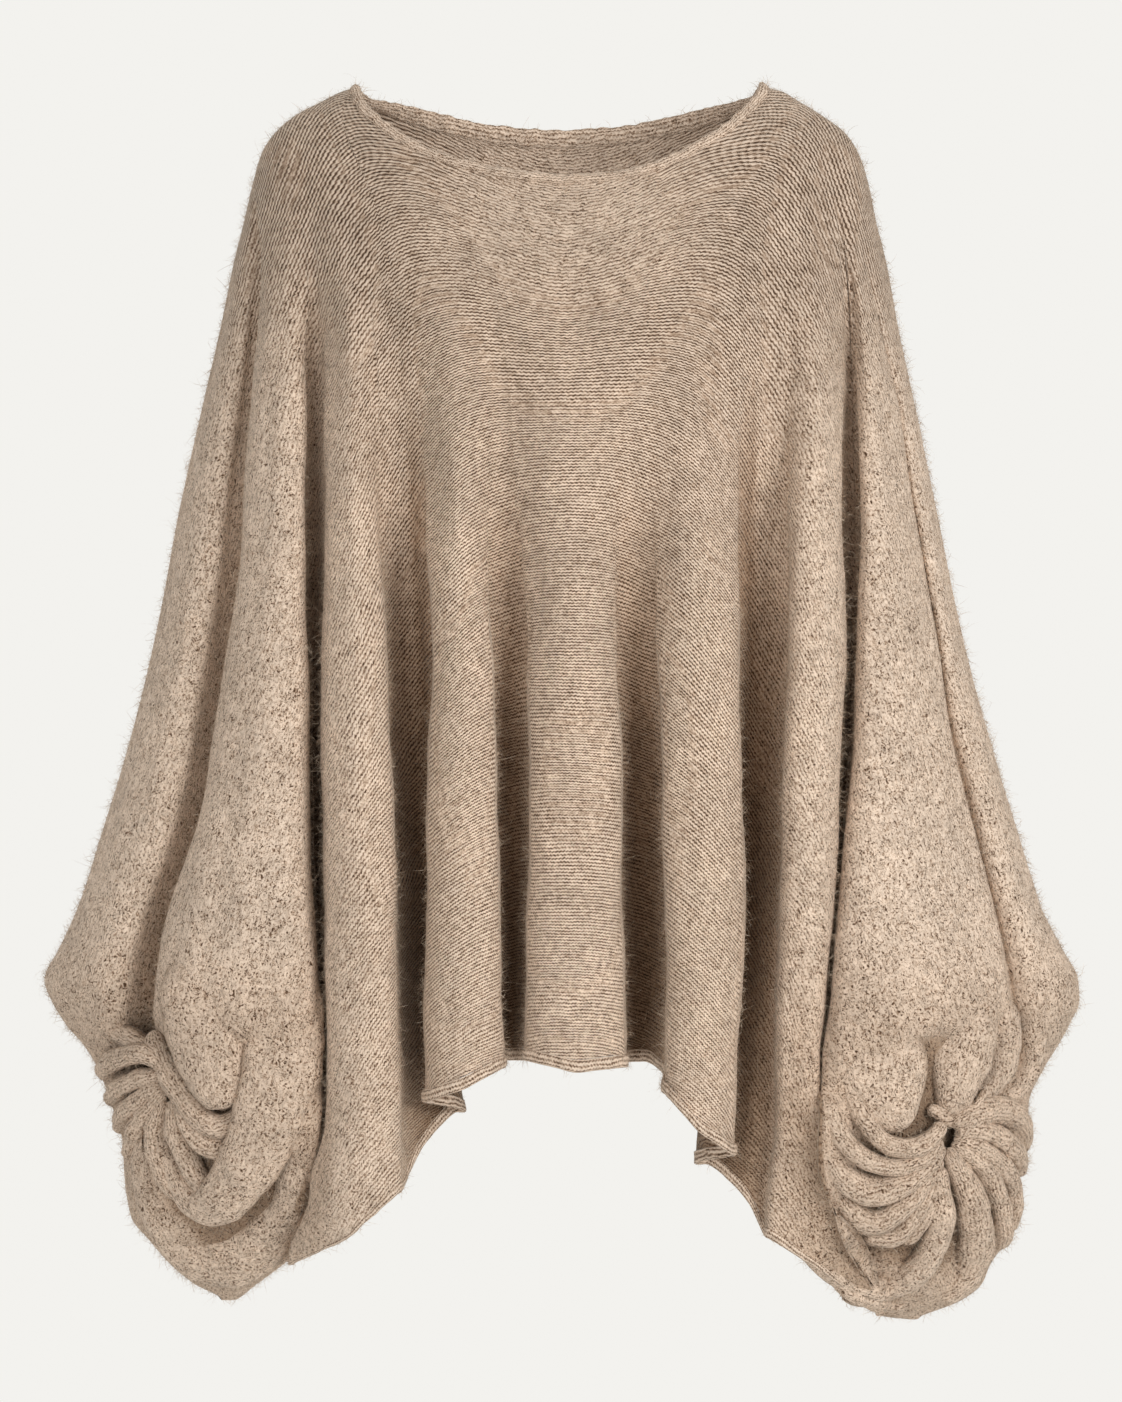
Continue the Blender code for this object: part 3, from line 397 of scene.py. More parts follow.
def columns_of(ridges, valleys, hem, form, hand_y):
    """Lines down the panel from one outer seam to the other. A zone below 0 is the left
    sleeve, above 0 the right one."""
    wobble = np.random.default_rng(SEED + (3 if hand_y > 0 else 1))
    edges, found = [], []
    for name, top_l, left, top_r, right in ridges:
        for top, xs in ((top_l, left), (top_r, right)):
            f1, f2, a1 = wobble.uniform(150, 230), wobble.uniform(60, 100), wobble.uniform(0, 6.28)

            def edge(z, xs=xs, f1=f1, f2=f2, a1=a1):
                grow = ease((-110.0 - np.asarray(z, float)) / 160.0)
                return along(LEVELS, xs, z) + grow * (0.7 * np.sin(z / f1 * 6.28 + a1) + 0.3 * np.sin(z / f2 * 6.28 + 2 * a1))

            edges.append((top, edge))
    deeps = [lambda z, d=d: along((*LEVELS, -745), d, z) for _, d, _ in valleys]
    tucks = [lambda z, t=t: along((*LEVELS, -745), t, z) for _, _, t in valleys]

    def outline(hand):
        return lambda z: side_x(z, hand)

    start_z = SIDES[8][0]
    bag_l, bag_r = np.array(BAG_L, float), np.array(BAG_R, float)

    def bag(line, f):
        places = np.linspace(0, 1, len(line))
        return float(along(places, line[:, 0], f)), float(along(places, line[:, 1], f))

    wide = 0.42
    first = outline(-1)
    for f, share, soft in zip(OUTER_FORM, OUTER_SHARE, OUTER_SOFT):
        z_top = start_z + (SIDES[6][0] - start_z) * f
        found.append(Column(float(side_x(z_top, -1)), between(first, edges[0][1], f), deeps[0], share, *bag(bag_l, wide * f), 0.0, -1, soft))
    floor_l = lambda z: edges[0][1](z) + 5.0 * np.clip(deeps[0](z) / 40.0, 0, 1)
    found.append(Column(edges[0][0] - 0.4, floor_l, deeps[0], 1.0, *bag(bag_l, wide), 0.0, -1))
    for f, share, soft in form:
        d = deeps[0] if f < 0.5 else deeps[1]
        end = bag(bag_l, wide + (1 - wide) * (0.06 + 0.94 * f))
        soft = share if f < 0.5 else soft
        found.append(Column(edges[0][0] + (edges[1][0] - edges[0][0]) * f, between(edges[0][1], edges[1][1], f), d, share, *end, 0.0, -1, soft))

    for k in range(1, len(ridges)):
        before, after = hem[k - 1], hem[k]
        mouth_l, mouth_r = edges[2 * k - 1], edges[2 * k]
        end_l, end_r = before[4], after[1]
        near = {1: 0.35, len(ridges) - 1: 0.35}.get(k, 1.0)
        for f, share, soft in VALLEY_FORM:
            tuck, deep = tucks[k], deeps[k]
            side = -1 if f < 0.1 else 1 if f > 0.9 else 0
            m = between(mouth_l[1], mouth_r[1], f)
            part = 0.5 if side else 1.0
            edge = lambda z, m=m, t=tuck, s=side, d=deep, w=part: m(z) + w * t(z) + s * undercut(d(z))
            end_x = end_l + (end_r - end_l) * f + part * float(tuck(-745.0)) + side * float(undercut(deep(-745.0)))
            end_z = before[6] if not side else (before[6] + (before[5] if side < 0 else after[2])) / 2
            zone = -1 if (k == 1 and f < 0.5) else 1 if (k == len(ridges) - 1 and f > 0.5) else 0
            found.append(Column(mouth_l[0] + (mouth_r[0] - mouth_l[0]) * f, edge, deep, share, end_x, end_z, near, zone, soft))
        if k == len(ridges) - 1:
            break
        left, right = edges[2 * k], edges[2 * k + 1]
        for f, share, soft in form:
            d = deeps[k] if f < 0.5 else deeps[k + 1]
            z_end = after[2] + (after[3] - after[2]) * min(1, f * 2) if f < 0.5 else after[3] + (after[5] - after[3]) * (2 * f - 1)
            near = 1.0
            if k == 1:
                near = 0.60 + 0.40 * f
            if k == len(ridges) - 2:
                near = 1.0 - 0.40 * f
            found.append(Column(left[0] + (right[0] - left[0]) * f, between(left[1], right[1], f), d, share, after[1] + (after[4] - after[1]) * f, z_end, near, 0, soft))
            if after[0] == "side_r" and hand_y < 0:
                found[-1].behind = 26.0 * (0.35 + 0.65 * math.sin(math.pi * min(1.0, 0.2 + 0.8 * f)))
                # painted shadow of the right sleeve's bag on this ridge, darkening its colour low down
                found[-1].shadow = 0.30 + 0.34 * f

    last = outline(1)
    for f, share, soft in form:
        d = deeps[-2] if f < 0.5 else deeps[-1]
        found.append(Column(edges[-2][0] + (edges[-1][0] - edges[-2][0]) * f, between(edges[-2][1], edges[-1][1], f), d, share, *bag(bag_r, (1 - wide) * 0.94 * f), 0.0, 1, soft))
    floor_r = lambda z: edges[-1][1](z) + 1.5
    found.append(Column(edges[-1][0] + 0.4, floor_r, deeps[-1], 1.0, *bag(bag_r, 1 - wide), 0.0, 1))
    for f, share, soft in zip(reversed(OUTER_FORM), reversed(OUTER_SHARE), reversed(OUTER_SOFT)):
        z_top = start_z + (SIDES[6][0] - start_z) * f
        found.append(Column(float(side_x(z_top, 1)), between(last, edges[-1][1], f), deeps[-1], share, *bag(bag_r, 1 - wide * f), 0.0, 1, soft))
    return found


class Panel:
    """A panel as fine curves down its control columns, to be sampled as finely as wanted."""

    def __init__(self, ridges, valleys, hem, neck, form, hand_y, fine=700):
        self.hand_y = hand_y
        self.columns = columns_of(ridges, valleys, hem, form, hand_y)
        self.neck = tuple((x * 0.995, z - NECK_DROP * (0.45 if i in (0, len(neck) - 1) else 1.0)) for i, (x, z) in enumerate(neck))
        self.fine = fine
        self.lines, self.runs, self.hem = [], [], []
        for c in self.columns:
            line = self.line(c)
            run = np.concatenate([[0], np.cumsum(np.linalg.norm(np.diff(line, axis=0), axis=1))])
            self.lines.append(line)
            self.runs.append(run)
            self.hem.append(0.0 if c.tuck_in == 0.0 else HEM_HEIGHT)

    def line(self, c):
        neck, hand_y = self.neck, self.hand_y
        on_neck = neck[0][0] < c.top_x < neck[-1][0]
        z_top = float(top_line(np.array(c.top_x), neck))
        t = np.linspace(0, 1, self.fine + 1)
        z = z_top + (c.end_z - z_top) * (t if on_neck else t**1.6)
        x = c.edge(z)
        start = np.clip((z_top - z) / 150.0, 0, 1)
        x = x + (c.top_x - x[0]) * (1 - start) ** 2.2
        low = ease((z - (c.end_z + 110.0)) / -110.0)
        x = x + (c.end_x - x[-1]) * low
        q = (z_top - z) / 28.0
        x = x + math.copysign(SPREAD, c.top_x) * math.exp(-(((abs(c.top_x) - 150.0) / 24.0) ** 2)) * q * np.exp(1 - q)
        x = np.clip(x, side_x(z, -1), side_x(z, 1))
        y = base_y(x, z, hand_y)
        fold = np.where(z > -120, ease((z_top - z) / max(40.0, z_top + 120.0)), 1.0)
        depth = c.depth(z)
        share = c.soft + (c.share - c.soft) * ease((depth - 14.0) / 50.0)
        y = y - hand_y * (share * depth * fold + c.behind * ease((-520.0 - z) / 150.0))
        depth = np.clip((BAG_ROUND_FROM - z) / max(BAG_ROUND_FROM - c.end_z, 1.0), 0, 1)
        close = np.sqrt(np.clip(1 - depth**2.2, 0, 1))
        y = y * (1 - (1 - c.tuck_in) * (1 - close))
        y = hand_y * np.abs(y)
        return np.stack(sighted(x, y, z), axis=1)

    def sample(self, first, last, shares, subdivisions, band=False):
        """Grid of true points: shares down, and across from control column first to last.
        With band, the shares run down the hem band instead of down the panel above it."""
        shares = np.asarray(shares, float)
        control = []
        for i in range(len(self.columns)):
            total, hem = self.runs[i][-1], self.hem[i]
            low, high = (total - max(hem, 0.3), total) if band else (0.0, total - hem)
            want = low + (high - low) * shares
            control.append(np.stack([np.interp(want, self.runs[i], self.lines[i][:, a]) for a in range(3)], axis=1))
        control = np.stack(control, axis=1)
        mirror = control * np.array([1, -1, 1])
        grown = np.concatenate([mirror[:, 1:2], control, mirror[:, -2:-1]], axis=1)
        across = []
        for i in range(first, last):
            p0, p1, p2, p3 = (grown[:, i + n] for n in range(4))
            n = subdivisions[i]
            t = np.linspace(0, 1, n + 1)[: n if i < last - 1 else n + 1]

            def knot(a, b):
                return np.maximum(np.linalg.norm(b - a, axis=1), 1e-3)[:, None] ** 0.5

            d1, d2, d3 = knot(p0, p1), knot(p1, p2), knot(p2, p3)
            m1 = (p1 - p0) / d1 - (p2 - p0) / (d1 + d2) + (p2 - p1) / d2
            m2 = (p2 - p1) / d2 - (p3 - p1) / (d2 + d3) + (p3 - p2) / d3
            m1, m2 = m1 * d2, m2 * d2
            for s in t:
                h = s * s * (3 - 2 * s)
                across.append(p1 * (1 - h) + p2 * h + m1 * s * (1 - s) ** 2 - m2 * s * s * (1 - s))
        return np.stack(across, axis=1)

    def spans(self, step):
        """How many steps each span between control columns takes, at about step apart."""
        control = self.sample(0, len(self.columns) - 1, np.linspace(0, 1, 24), [1] * (len(self.columns) - 1))
        widths = np.linalg.norm(np.diff(control, axis=1), axis=2)
        width = np.percentile(widths, 75, axis=0)
        return [max(2, int(round(w / step))) for w in width]


def places_of(spans, first, last):
    """Control-column coordinate of each fine column."""
    out = []
    for i in range(first, last):
        n = spans[i]
        out += [i + s for s in np.linspace(0, 1, n + 1)[: n if i < last - 1 else n + 1]]
    return np.array(out)


def grid_normals(p, hand_y):
    down = np.gradient(p, axis=0)
    side = np.gradient(p, axis=1)
    n = np.cross(down, side)
    size = np.linalg.norm(n, axis=2)[:, :, None]
    n /= np.maximum(size, 1e-9)
    if (n[..., 1] * hand_y).mean() < 0:
        n = -n
    return n


# ------------------------------------------------------------------ how the courses run
COURSES = (
    # z, where the arch's top lies off the middle, steepness outside it, slope inside it
    (-10, 157, 9.0, 0.45),
    (-40, 140, 7.5, 0.42),
    (-72, 120, 6.2, 0.45),
    (-115, 95, 4.0, 0.38),
    (-152, 75, 2.7, 0.20),
    (-190, 52, 2.0, 0.06),
    (-225, 35, 1.6, 0.0),
    (-283, 6, 1.2, 0.0),
    (-340, 0, 0.98, 0.0),
    (-540, 0, 0.65, 0.0),
    (-700, 0, 0.58, 0.0),
)
COURSE_MIDDLE = 6.0


def course_slope(x, z):
    """dz/dx of the courses as seen from the front."""
    rows = np.array(COURSES, float)
    apex, steep, inner = (along(rows[:, 0], rows[:, i], z) for i in (1, 2, 3))
    x = x - COURSE_MIDDLE
    out = np.clip(np.abs(x) - apex, 0, None)
    slope = np.minimum(steep * (out / 100.0) ** 1.5, 3.4)
    slope = np.where(np.abs(x) < apex, -inner * np.sin(math.pi * np.clip(np.abs(x) / np.maximum(apex, 1), 0, 1)), slope)
    return -np.sign(x) * slope


def course_direction(p, n, drawn=True):
    """Unit vectors along the courses on the surface p with normals n."""
    x, z = seen(p)
    slope = course_slope(x, z)
    t = np.stack([np.ones_like(slope), np.zeros_like(slope), slope], axis=-1)
    t /= np.linalg.norm(t, axis=-1)[..., None]
    if drawn:
        for _, gx, gz, reach in GATHERS:
            dx, dz = x - (gx - PX_X) * PX, z - (PX_Z - gz) * PX
            r = np.hypot(dx, dz)
            radial = np.stack([dx, np.zeros_like(dx), dz], axis=-1) / np.maximum(r, 1e-6)[..., None]
            radial *= np.where((radial * t).sum(-1) < 0, -1.0, 1.0)[..., None]
            w = ease(1.3 - r / (reach * PX))[..., None]
            t = t * (1 - w) + radial * w
            t /= np.maximum(np.linalg.norm(t, axis=-1), 1e-6)[..., None]
    # the direction on the surface that is seen from the front as t
    ny = n[..., 1]
    ny = np.where(np.abs(ny) < 0.12, np.where(ny < 0, -0.12, 0.12), ny)
    dy = -(t[..., 0] * n[..., 0] + t[..., 2] * n[..., 2]) / ny
    d = np.stack([t[..., 0], dy, t[..., 2]], axis=-1)
    d -= n * (d * n).sum(-1)[..., None]
    return d / np.maximum(np.linalg.norm(d, axis=-1), 1e-9)[..., None]


def row_pitch(x, z):
    """Millimetres from course to course: wide at the shoulders, fine down the middle."""
    wide = ease((np.abs(x - COURSE_MIDDLE) - 70.0) / 120.0)
    high = ease((z + 230.0) / 190.0)
    return 2.15 + 0.65 * wide + 0.15 * high + 0.65 * wide * high


def knit_coordinates(p, hand_y, strong=5.0, steps=1500):
    """Stitches along and courses across at every point of a grid: the fields whose steps
    follow the courses' direction best, found by conjugate gradients."""
    n = grid_normals(p, hand_y)
    d = course_direction(p, n)
    g = np.cross(n, d) * (-1 if hand_y > 0 else 1)
    if g[..., 2].mean() < 0:
        g = -g
    mid = lambda q: (q[:-1, :-1] + q[1:, :-1] + q[:-1, 1:] + q[1:, 1:]) / 4
    a = ((p[1:, :-1] - p[:-1, :-1]) + (p[1:, 1:] - p[:-1, 1:])) / 2
    b = ((p[:-1, 1:] - p[:-1, :-1]) + (p[1:, 1:] - p[1:, :-1])) / 2
    area = np.linalg.norm(np.cross(a, b), axis=2)
    aa, ab, bb = (a * a).sum(2), (a * b).sum(2), (b * b).sum(2)
    det = np.maximum(aa * bb - ab * ab, 1e-3)

    def parts(v):
        v = mid(v)
        v = v / np.maximum(np.linalg.norm(v, axis=2), 1e-9)[:, :, None]
        va, vb = (v * a).sum(2), (v * b).sum(2)
        return (bb * va - ab * vb) / det, (aa * vb - ab * va) / det

    d1, d2 = parts(d)
    g1, g2 = parts(g)
    w = area / area.mean()
    corners = ((0, 0, -1, -1), (1, 0, 1, -1), (0, 1, -1, 1), (1, 1, 1, 1))

    def grad(f):
        fi = ((f[1:, :-1] - f[:-1, :-1]) + (f[1:, 1:] - f[:-1, 1:])) / 2
        fj = ((f[:-1, 1:] - f[:-1, :-1]) + (f[1:, 1:] - f[1:, :-1])) / 2
        return fi, fj

    def at_corner(out, i, j):
        return out[i : out.shape[0] - 1 + i, j : out.shape[1] - 1 + j]

    def back(fi, fj):
        out = np.zeros(p.shape[:2])
        for i, j, si, sj in corners:
            at_corner(out, i, j)[...] += (si * fi + sj * fj) / 2
        return out

    def solve(wd, wg, target_d, target_g, start):
        reg = 2e-4

        def apply(f):
            fi, fj = grad(f)
            pd, pg = wd * w * (d1 * fi + d2 * fj), wg * w * (g1 * fi + g2 * fj)
            out = back(d1 * pd + g1 * pg, d2 * pd + g2 * pg)
            ri, rj = np.diff(f, axis=0) * reg, np.diff(f, axis=1) * reg
            out[1:] += ri
            out[:-1] -= ri
            out[:, 1:] += rj
            out[:, :-1] -= rj
            return out

        size = np.full(p.shape[:2], 4 * reg)
        for i, j, si, sj in corners:
            at_corner(size, i, j)[...] += (wd * w * (si * d1 + sj * d2) ** 2 + wg * w * (si * g1 + sj * g2) ** 2) / 4
        pd, pg = wd * w * target_d, wg * w * target_g
        rhs = back(d1 * pd + g1 * pg, d2 * pd + g2 * pg)
        f = start.copy()
        r = rhs - apply(f)
        y = r / size
        s = y.copy()
        ry = (r * y).sum()
        goal = ry * 1e-8
        for _ in range(steps):
            q = apply(s)
            alpha = ry / max((s * q).sum(), 1e-20)
            f += alpha * s
            r -= alpha * q
            y = r / size
            new = (r * y).sum()
            if new < goal:
                break
            s = y + (new / ry) * s
            ry = new
        return f

    x, z = seen(mid(p))
    pitch = row_pitch(x, z)
    v = solve(strong, 1.0, 0.0, 1.0 / pitch, p[..., 2] / 2.7)
    u = solve(1.0, 0.12, 1.0 / STITCH_PITCH, 0.0, p[..., 0] / STITCH_PITCH)
    return u, v


class Knit:
    """The knit's coordinates over a whole panel, read at any share and place across."""

    def __init__(self, panel):
        count = len(panel.columns)
        self.spans = [max(1, int(round(n))) for n in panel.spans(9.0)]
        self.rows = np.linspace(0, 1, 120)
        p = panel.sample(0, count - 1, self.rows, self.spans)
        self.u, self.v = knit_coordinates(p, panel.hand_y)
        self.finer = self.shortfall(p)
        self.places = places_of(self.spans, 0, count - 1)

    def shortfall(self, p):
        """How many times too far apart the courses lie, before they are cut finer."""
        a, b = np.gradient(p, axis=0), np.gradient(p, axis=1)
        aa, ab, bb = (a * a).sum(2), (a * b).sum(2), (b * b).sum(2)
        det = np.maximum(aa * bb - ab * ab, 1e-3)
        va, vb = np.gradient(self.v, axis=0), np.gradient(self.v, axis=1)
        g = ((bb * va - ab * vb) / det)[..., None] * a + ((aa * vb - ab * va) / det)[..., None] * b
        rate = np.clip(np.linalg.norm(g, axis=2), 0.08, 1.2)
        for _ in range(10):
            wide = np.pad(rate, 1, mode="edge")
            rate = (wide[:-2, 1:-1] + wide[2:, 1:-1] + wide[1:-1, :-2] + wide[1:-1, 2:] + 2 * rate) / 6
        x, z = seen(p)
        return np.clip(1.0 / (row_pitch(x, z) * rate), 0.7, 4.0)

    def read(self, shares, places):
        out = []
        r = np.interp(shares, self.rows, np.arange(len(self.rows)))
        c = np.interp(places, self.places, np.arange(len(self.places)))
        i, j = np.minimum(r.astype(int), len(self.rows) - 2), np.minimum(c.astype(int), len(self.places) - 2)
        fr, fc = (r - i)[:, None], (c - j)[None, :]
        for f in (self.u, self.v, self.finer):
            a = f[np.ix_(i, j)] * (1 - fc) + f[np.ix_(i, j + 1)] * fc
            b = f[np.ix_(i + 1, j)] * (1 - fc) + f[np.ix_(i + 1, j + 1)] * fc
            out.append(a * (1 - fr) + b * fr)
        return np.stack(out, axis=-1)


# ------------------------------------------------------------------ folds at the gathers
def polyline(rows, step=2.0):
    """The rows' values at close even steps along a smooth curve through them."""
    rows = np.array(rows, float)
    run = np.concatenate([[0], np.cumsum(np.linalg.norm(np.diff(rows[:, :2], axis=0), axis=1))])
    at = np.linspace(0, run[-1], max(3, int(run[-1] / step)))
    k = np.zeros((len(rows), rows.shape[1]))
    k[1:-1] = (rows[2:] - rows[:-2]) / (run[2:] - run[:-2])[:, None]
    k[0], k[-1] = (rows[1] - rows[0]) / (run[1] - run[0]), (rows[-1] - rows[-2]) / (run[-1] - run[-2])
    i = np.clip(np.searchsorted(run, at, side="right") - 1, 0, len(run) - 2)
    h = (run[i + 1] - run[i])[:, None]
    t = (at - run[i])[:, None] / h
    return (
        rows[i] * (1 + 2 * t) * (1 - t) ** 2
        + k[i] * h * t * (1 - t) ** 2
        + rows[i + 1] * t * t * (3 - 2 * t)
        + k[i + 1] * h * t * t * (t - 1)
    )


def sunk(x, z):
    """How far back in mm the sleeve lies behind the pleats, over the sighted x, z."""
    px, pz = x / PX + PX_X, PX_Z - z / PX
    free = np.ones(px.shape)
    deep = np.zeros(px.shape)
    for sx, sz, r, d in SUNK:
        w = ease(1.45 - np.hypot(px - sx, pz - sz) / r)
        deep += w * d
        free += w
    return deep / free * np.clip(free - 1, 0, 1) * 2 * 0.62


class Lie:
    """Where the sleeves' plain front stands under any sighted place."""

    def __init__(self, panel):
        from mathutils.kdtree import KDTree

        last = len(panel.columns) - 1
        p = panel.sample(0, last, np.linspace(0, 1, 170), panel.spans(4.0))
        n = grid_normals(p, panel.hand_y)
        x, z = seen(p)
        keep = (z < -600.0) & (np.abs(x) > 120.0)
        self.p, self.n, x, z = p[keep], n[keep], x[keep], z[keep]
        self.tree = KDTree(len(x))
        for i, (a, b) in enumerate(zip(x, z)):
            self.tree.insert((a, b, 0.0), i)
        self.tree.balance()

    def at(self, x, z):
        points, normals = [], []
        for a, b in zip(x, z):
            found = self.tree.find_n((a, b, 0.0), 7)
            i = [f[1] for f in found]
            w = 1.0 / (np.array([f[2] for f in found]) + 2.0) ** 2
            w /= w.sum()
            y = float((self.p[i, 1] * w).sum())
            px, _, pz = sighted(a, y, b)
            points.append((px, y, pz))
            normals.append((self.n[i] * w[:, None]).sum(0))
        return np.array(points), np.array(normals)


def pleat(rows, lie, seed, sides=26):
    """Grid of points round one fold, its outward normals, its knit coordinates and its painted shade."""
    line = polyline(rows, 2.0)
    x, z = (line[:, 0] - PX_X) * PX, (PX_Z - line[:, 1]) * PX
    base, n = lie.at(x, z)
    n = n * 0.5 + np.array([0.0, -1.0, 0.0]) * 0.5

    def calm(q, times):
        for _ in range(times):
            ends = q[[0, -1]].copy()
            q = np.concatenate([q[:1], (q[:-2] + 2 * q[1:-1] + q[2:]) / 4, q[-1:]])
            q[0], q[-1] = ends
        return q

    base, n = calm(base, 10), calm(n, 14)
    n /= np.linalg.norm(n, axis=1)[:, None]
    half = line[:, 2] * PX * (1 + base[:, 1] / SIGHT)
    half = half * (1 + 0.11 * ease((17.0 - half) / 8.0))
    tall = np.minimum(half * 0.98, 13.5)
    run = np.concatenate([[0], np.cumsum(np.linalg.norm(np.diff(base, axis=0), axis=1))])
    near_end = np.minimum(run, run[-1] - run)
    close = np.sqrt(np.clip(1 - np.clip(1 - near_end / np.maximum(half * 0.9, 1), 0, 1) ** 2, 0, 1))
    middle = base + n * (line[:, 3] - tall)[:, None]
    t = np.gradient(middle, axis=0)
    t /= np.linalg.norm(t, axis=1)[:, None]
    n -= t * (n * t).sum(1)[:, None]
    n /= np.linalg.norm(n, axis=1)[:, None]
    side = np.cross(t, n)
    phi = np.linspace(0, 2 * math.pi, sides, endpoint=True)
    c, sn = np.cos(phi)[None, :, None], np.sin(phi)[None, :, None]
    out = side[:, None, :] * c * (half * close)[:, None, None] + n[:, None, :] * sn * (tall * close)[:, None, None]
    q = middle[:, None, :] + out
    normal = side[:, None, :] * c / half[:, None, None] + n[:, None, :] * sn / tall[:, None, None]
    normal /= np.linalg.norm(normal, axis=2)[:, :, None]
    soft = 0.55 * PLEAT_SOFT(q) + 0.22 * LUMP(q)
    furrow = 0.22 * np.sin(phi * 5 + seed * 1.7 + 0.02 * run[:, None]) * np.clip(half / 9.0, 0, 1.4)[:, None]
    q = q + normal * ((soft + furrow) * close[:, None])[..., None]
    mean = float(np.mean((half + tall) / 2))
    stitches = np.broadcast_to(run[:, None] / STITCH_PITCH + seed * 11.3, q.shape[:2])
    rows_at = np.broadcast_to(phi[None, :] * mean / 2.8 + seed * 7.1, q.shape[:2])
    # painted shade: the fold's colour darkens from its crest round its flanks to the side that lies on the sleeve
    deep = (0.32 + 0.66 * ease((0.55 - np.sin(phi)) / 0.8))[None, :] * np.ones((len(run), 1))
    return q, normal, np.stack([stitches, rows_at], axis=-1), deep


# ------------------------------------------------------------------ meshes
def sweater_collection():
    found = bpy.data.collections.new("batwing_sweater_looks")
    bpy.context.scene.collection.children.link(found)
    return found


LOOKS = sweater_collection()


def mesh_object(name, points, faces, uv=None, values=None, material=None, smooth=True):
    """A mesh from points in mm and triangles or quads, with knit coordinates at each point
    and named numbers."""
    data = bpy.data.meshes.new(name)
    faces = np.asarray(faces, np.int32)
    size = faces.shape[1]
    data.vertices.add(len(points))
    data.vertices.foreach_set("co", (np.asarray(points) * MM).astype(np.float32).ravel())
    data.loops.add(faces.size)
    data.loops.foreach_set("vertex_index", faces.ravel())
    data.polygons.add(len(faces))
    data.polygons.foreach_set("loop_start", np.arange(0, faces.size, size, dtype=np.int32))
    data.update(calc_edges=True)
    if uv is not None:
        layer = data.uv_layers.new(name="knit")
        layer.data.foreach_set("uv", (np.asarray(uv)[faces.ravel()] / 100.0).astype(np.float32).ravel())
    for key, value in (values or {}).items():
        attribute = data.attributes.new(key, "FLOAT", "POINT")
        attribute.data.foreach_set("value", np.asarray(value, np.float32).ravel())
    if smooth:
        data.polygons.foreach_set("use_smooth", np.ones(len(faces), bool))
    data.validate()
    if material:
        data.materials.append(material)
    made = bpy.data.objects.new(name, data)
    LOOKS.objects.link(made)
    return made


def grid_faces(rows, cols, hand_y, wanted=None):
    """Quads of a grid that face outwards on a panel's front (-1) or back (+1)."""
    r, c = np.meshgrid(np.arange(rows - 1), np.arange(cols - 1), indexing="ij")
    a = r * cols + c
    quads = np.stack([a, a + cols, a + cols + 1, a + 1], axis=-1)
    if hand_y > 0:
        quads = quads[..., ::-1]
    if wanted is not None:
        return quads[wanted]
    return quads.reshape(-1, 4)


WRINKLE = Waves(130.0, 1, stretch=(0.7, 0.7, 3.5))
RIPPLE = Waves(38.0, 2, stretch=(0.8, 0.8, 1.9))
LUMP = Waves(13.0, 3)
PLEAT_SOFT = Waves(30.0, 5)
STREAK = Waves(34.0, 6, stretch=(1.0, 1.0, 14.0))
SHOULDER = Waves(60.0, 4)


def finished(p, hand_y):
    """The sampled grid with its small unevenness, and sunk where pleats lie on it. Returns
    the new points and how deep each lies behind the pleats, from 0 to 1."""
    n = grid_normals(p, hand_y)
    x, z = seen(p)
    free = ease((-120.0 - z) / 160.0)
    seam = ease(np.abs(p[..., 1]) / 10.0)
    lift = (0.55 * WRINKLE(p) * free + 0.16 * RIPPLE(p) + 0.42 * STREAK(p) * (0.35 + 0.65 * ease((-60.0 - z) / 120.0))) * seam
    lift += 0.10 * LUMP(p) * seam
    back = sunk(x, z) * ease((np.where(x < 0, x - side_x(z, -1), side_x(z, 1) - x) - 5.0) / 30.0)
    if hand_y > 0:
        back = 0.0 * back
    return p + n * (lift - back)[..., None], np.clip(back / 9.0, 0, 1)


def row_shares(upper, lower, split):
    """Shares down a panel, upper steps to the split and lower steps below it."""
    a = np.linspace(0, split, upper, endpoint=False)
    b = np.linspace(split, 1, lower)
    return np.concatenate([a, b])


front = Panel(FRONT_RIDGES, FRONT_VALLEYS, FRONT_HEM, FRONT_NECK, FRONT_FORM, -1)
back = Panel(BACK_RIDGES, BACK_VALLEYS, BACK_HEM, BACK_NECK, BACK_FORM, 1)
knits = {"front": Knit(front), "back": Knit(back)}
print("knit coordinates done")


def valley_shade_of(panel, spans, first, last, shares):
    """Painted shade at each point, from 0 on a crest to 1 on a deep valley floor, and a painted shadow low down on the
    columns that carry one.
    """
    places = places_of(spans, first, last)
    share = np.array([c.share for c in panel.columns])
    shadow = np.array([c.shadow for c in panel.columns])
    rows = []
    for s in shares:
        deep = np.array([float(c.depth(l[int(s * (len(l) - 1))][2])) for c, l in zip(panel.columns, panel.lines)])
        low = ease(np.array([(-540.0 - l[int(s * (len(l) - 1))][2]) / 160.0 for l in panel.lines]))
        dark = np.maximum(share * np.clip(deep / 75.0, 0, 1) ** 1.25, shadow * low)
        rows.append(np.interp(places, np.arange(len(share)), dark))
    return np.array(rows)


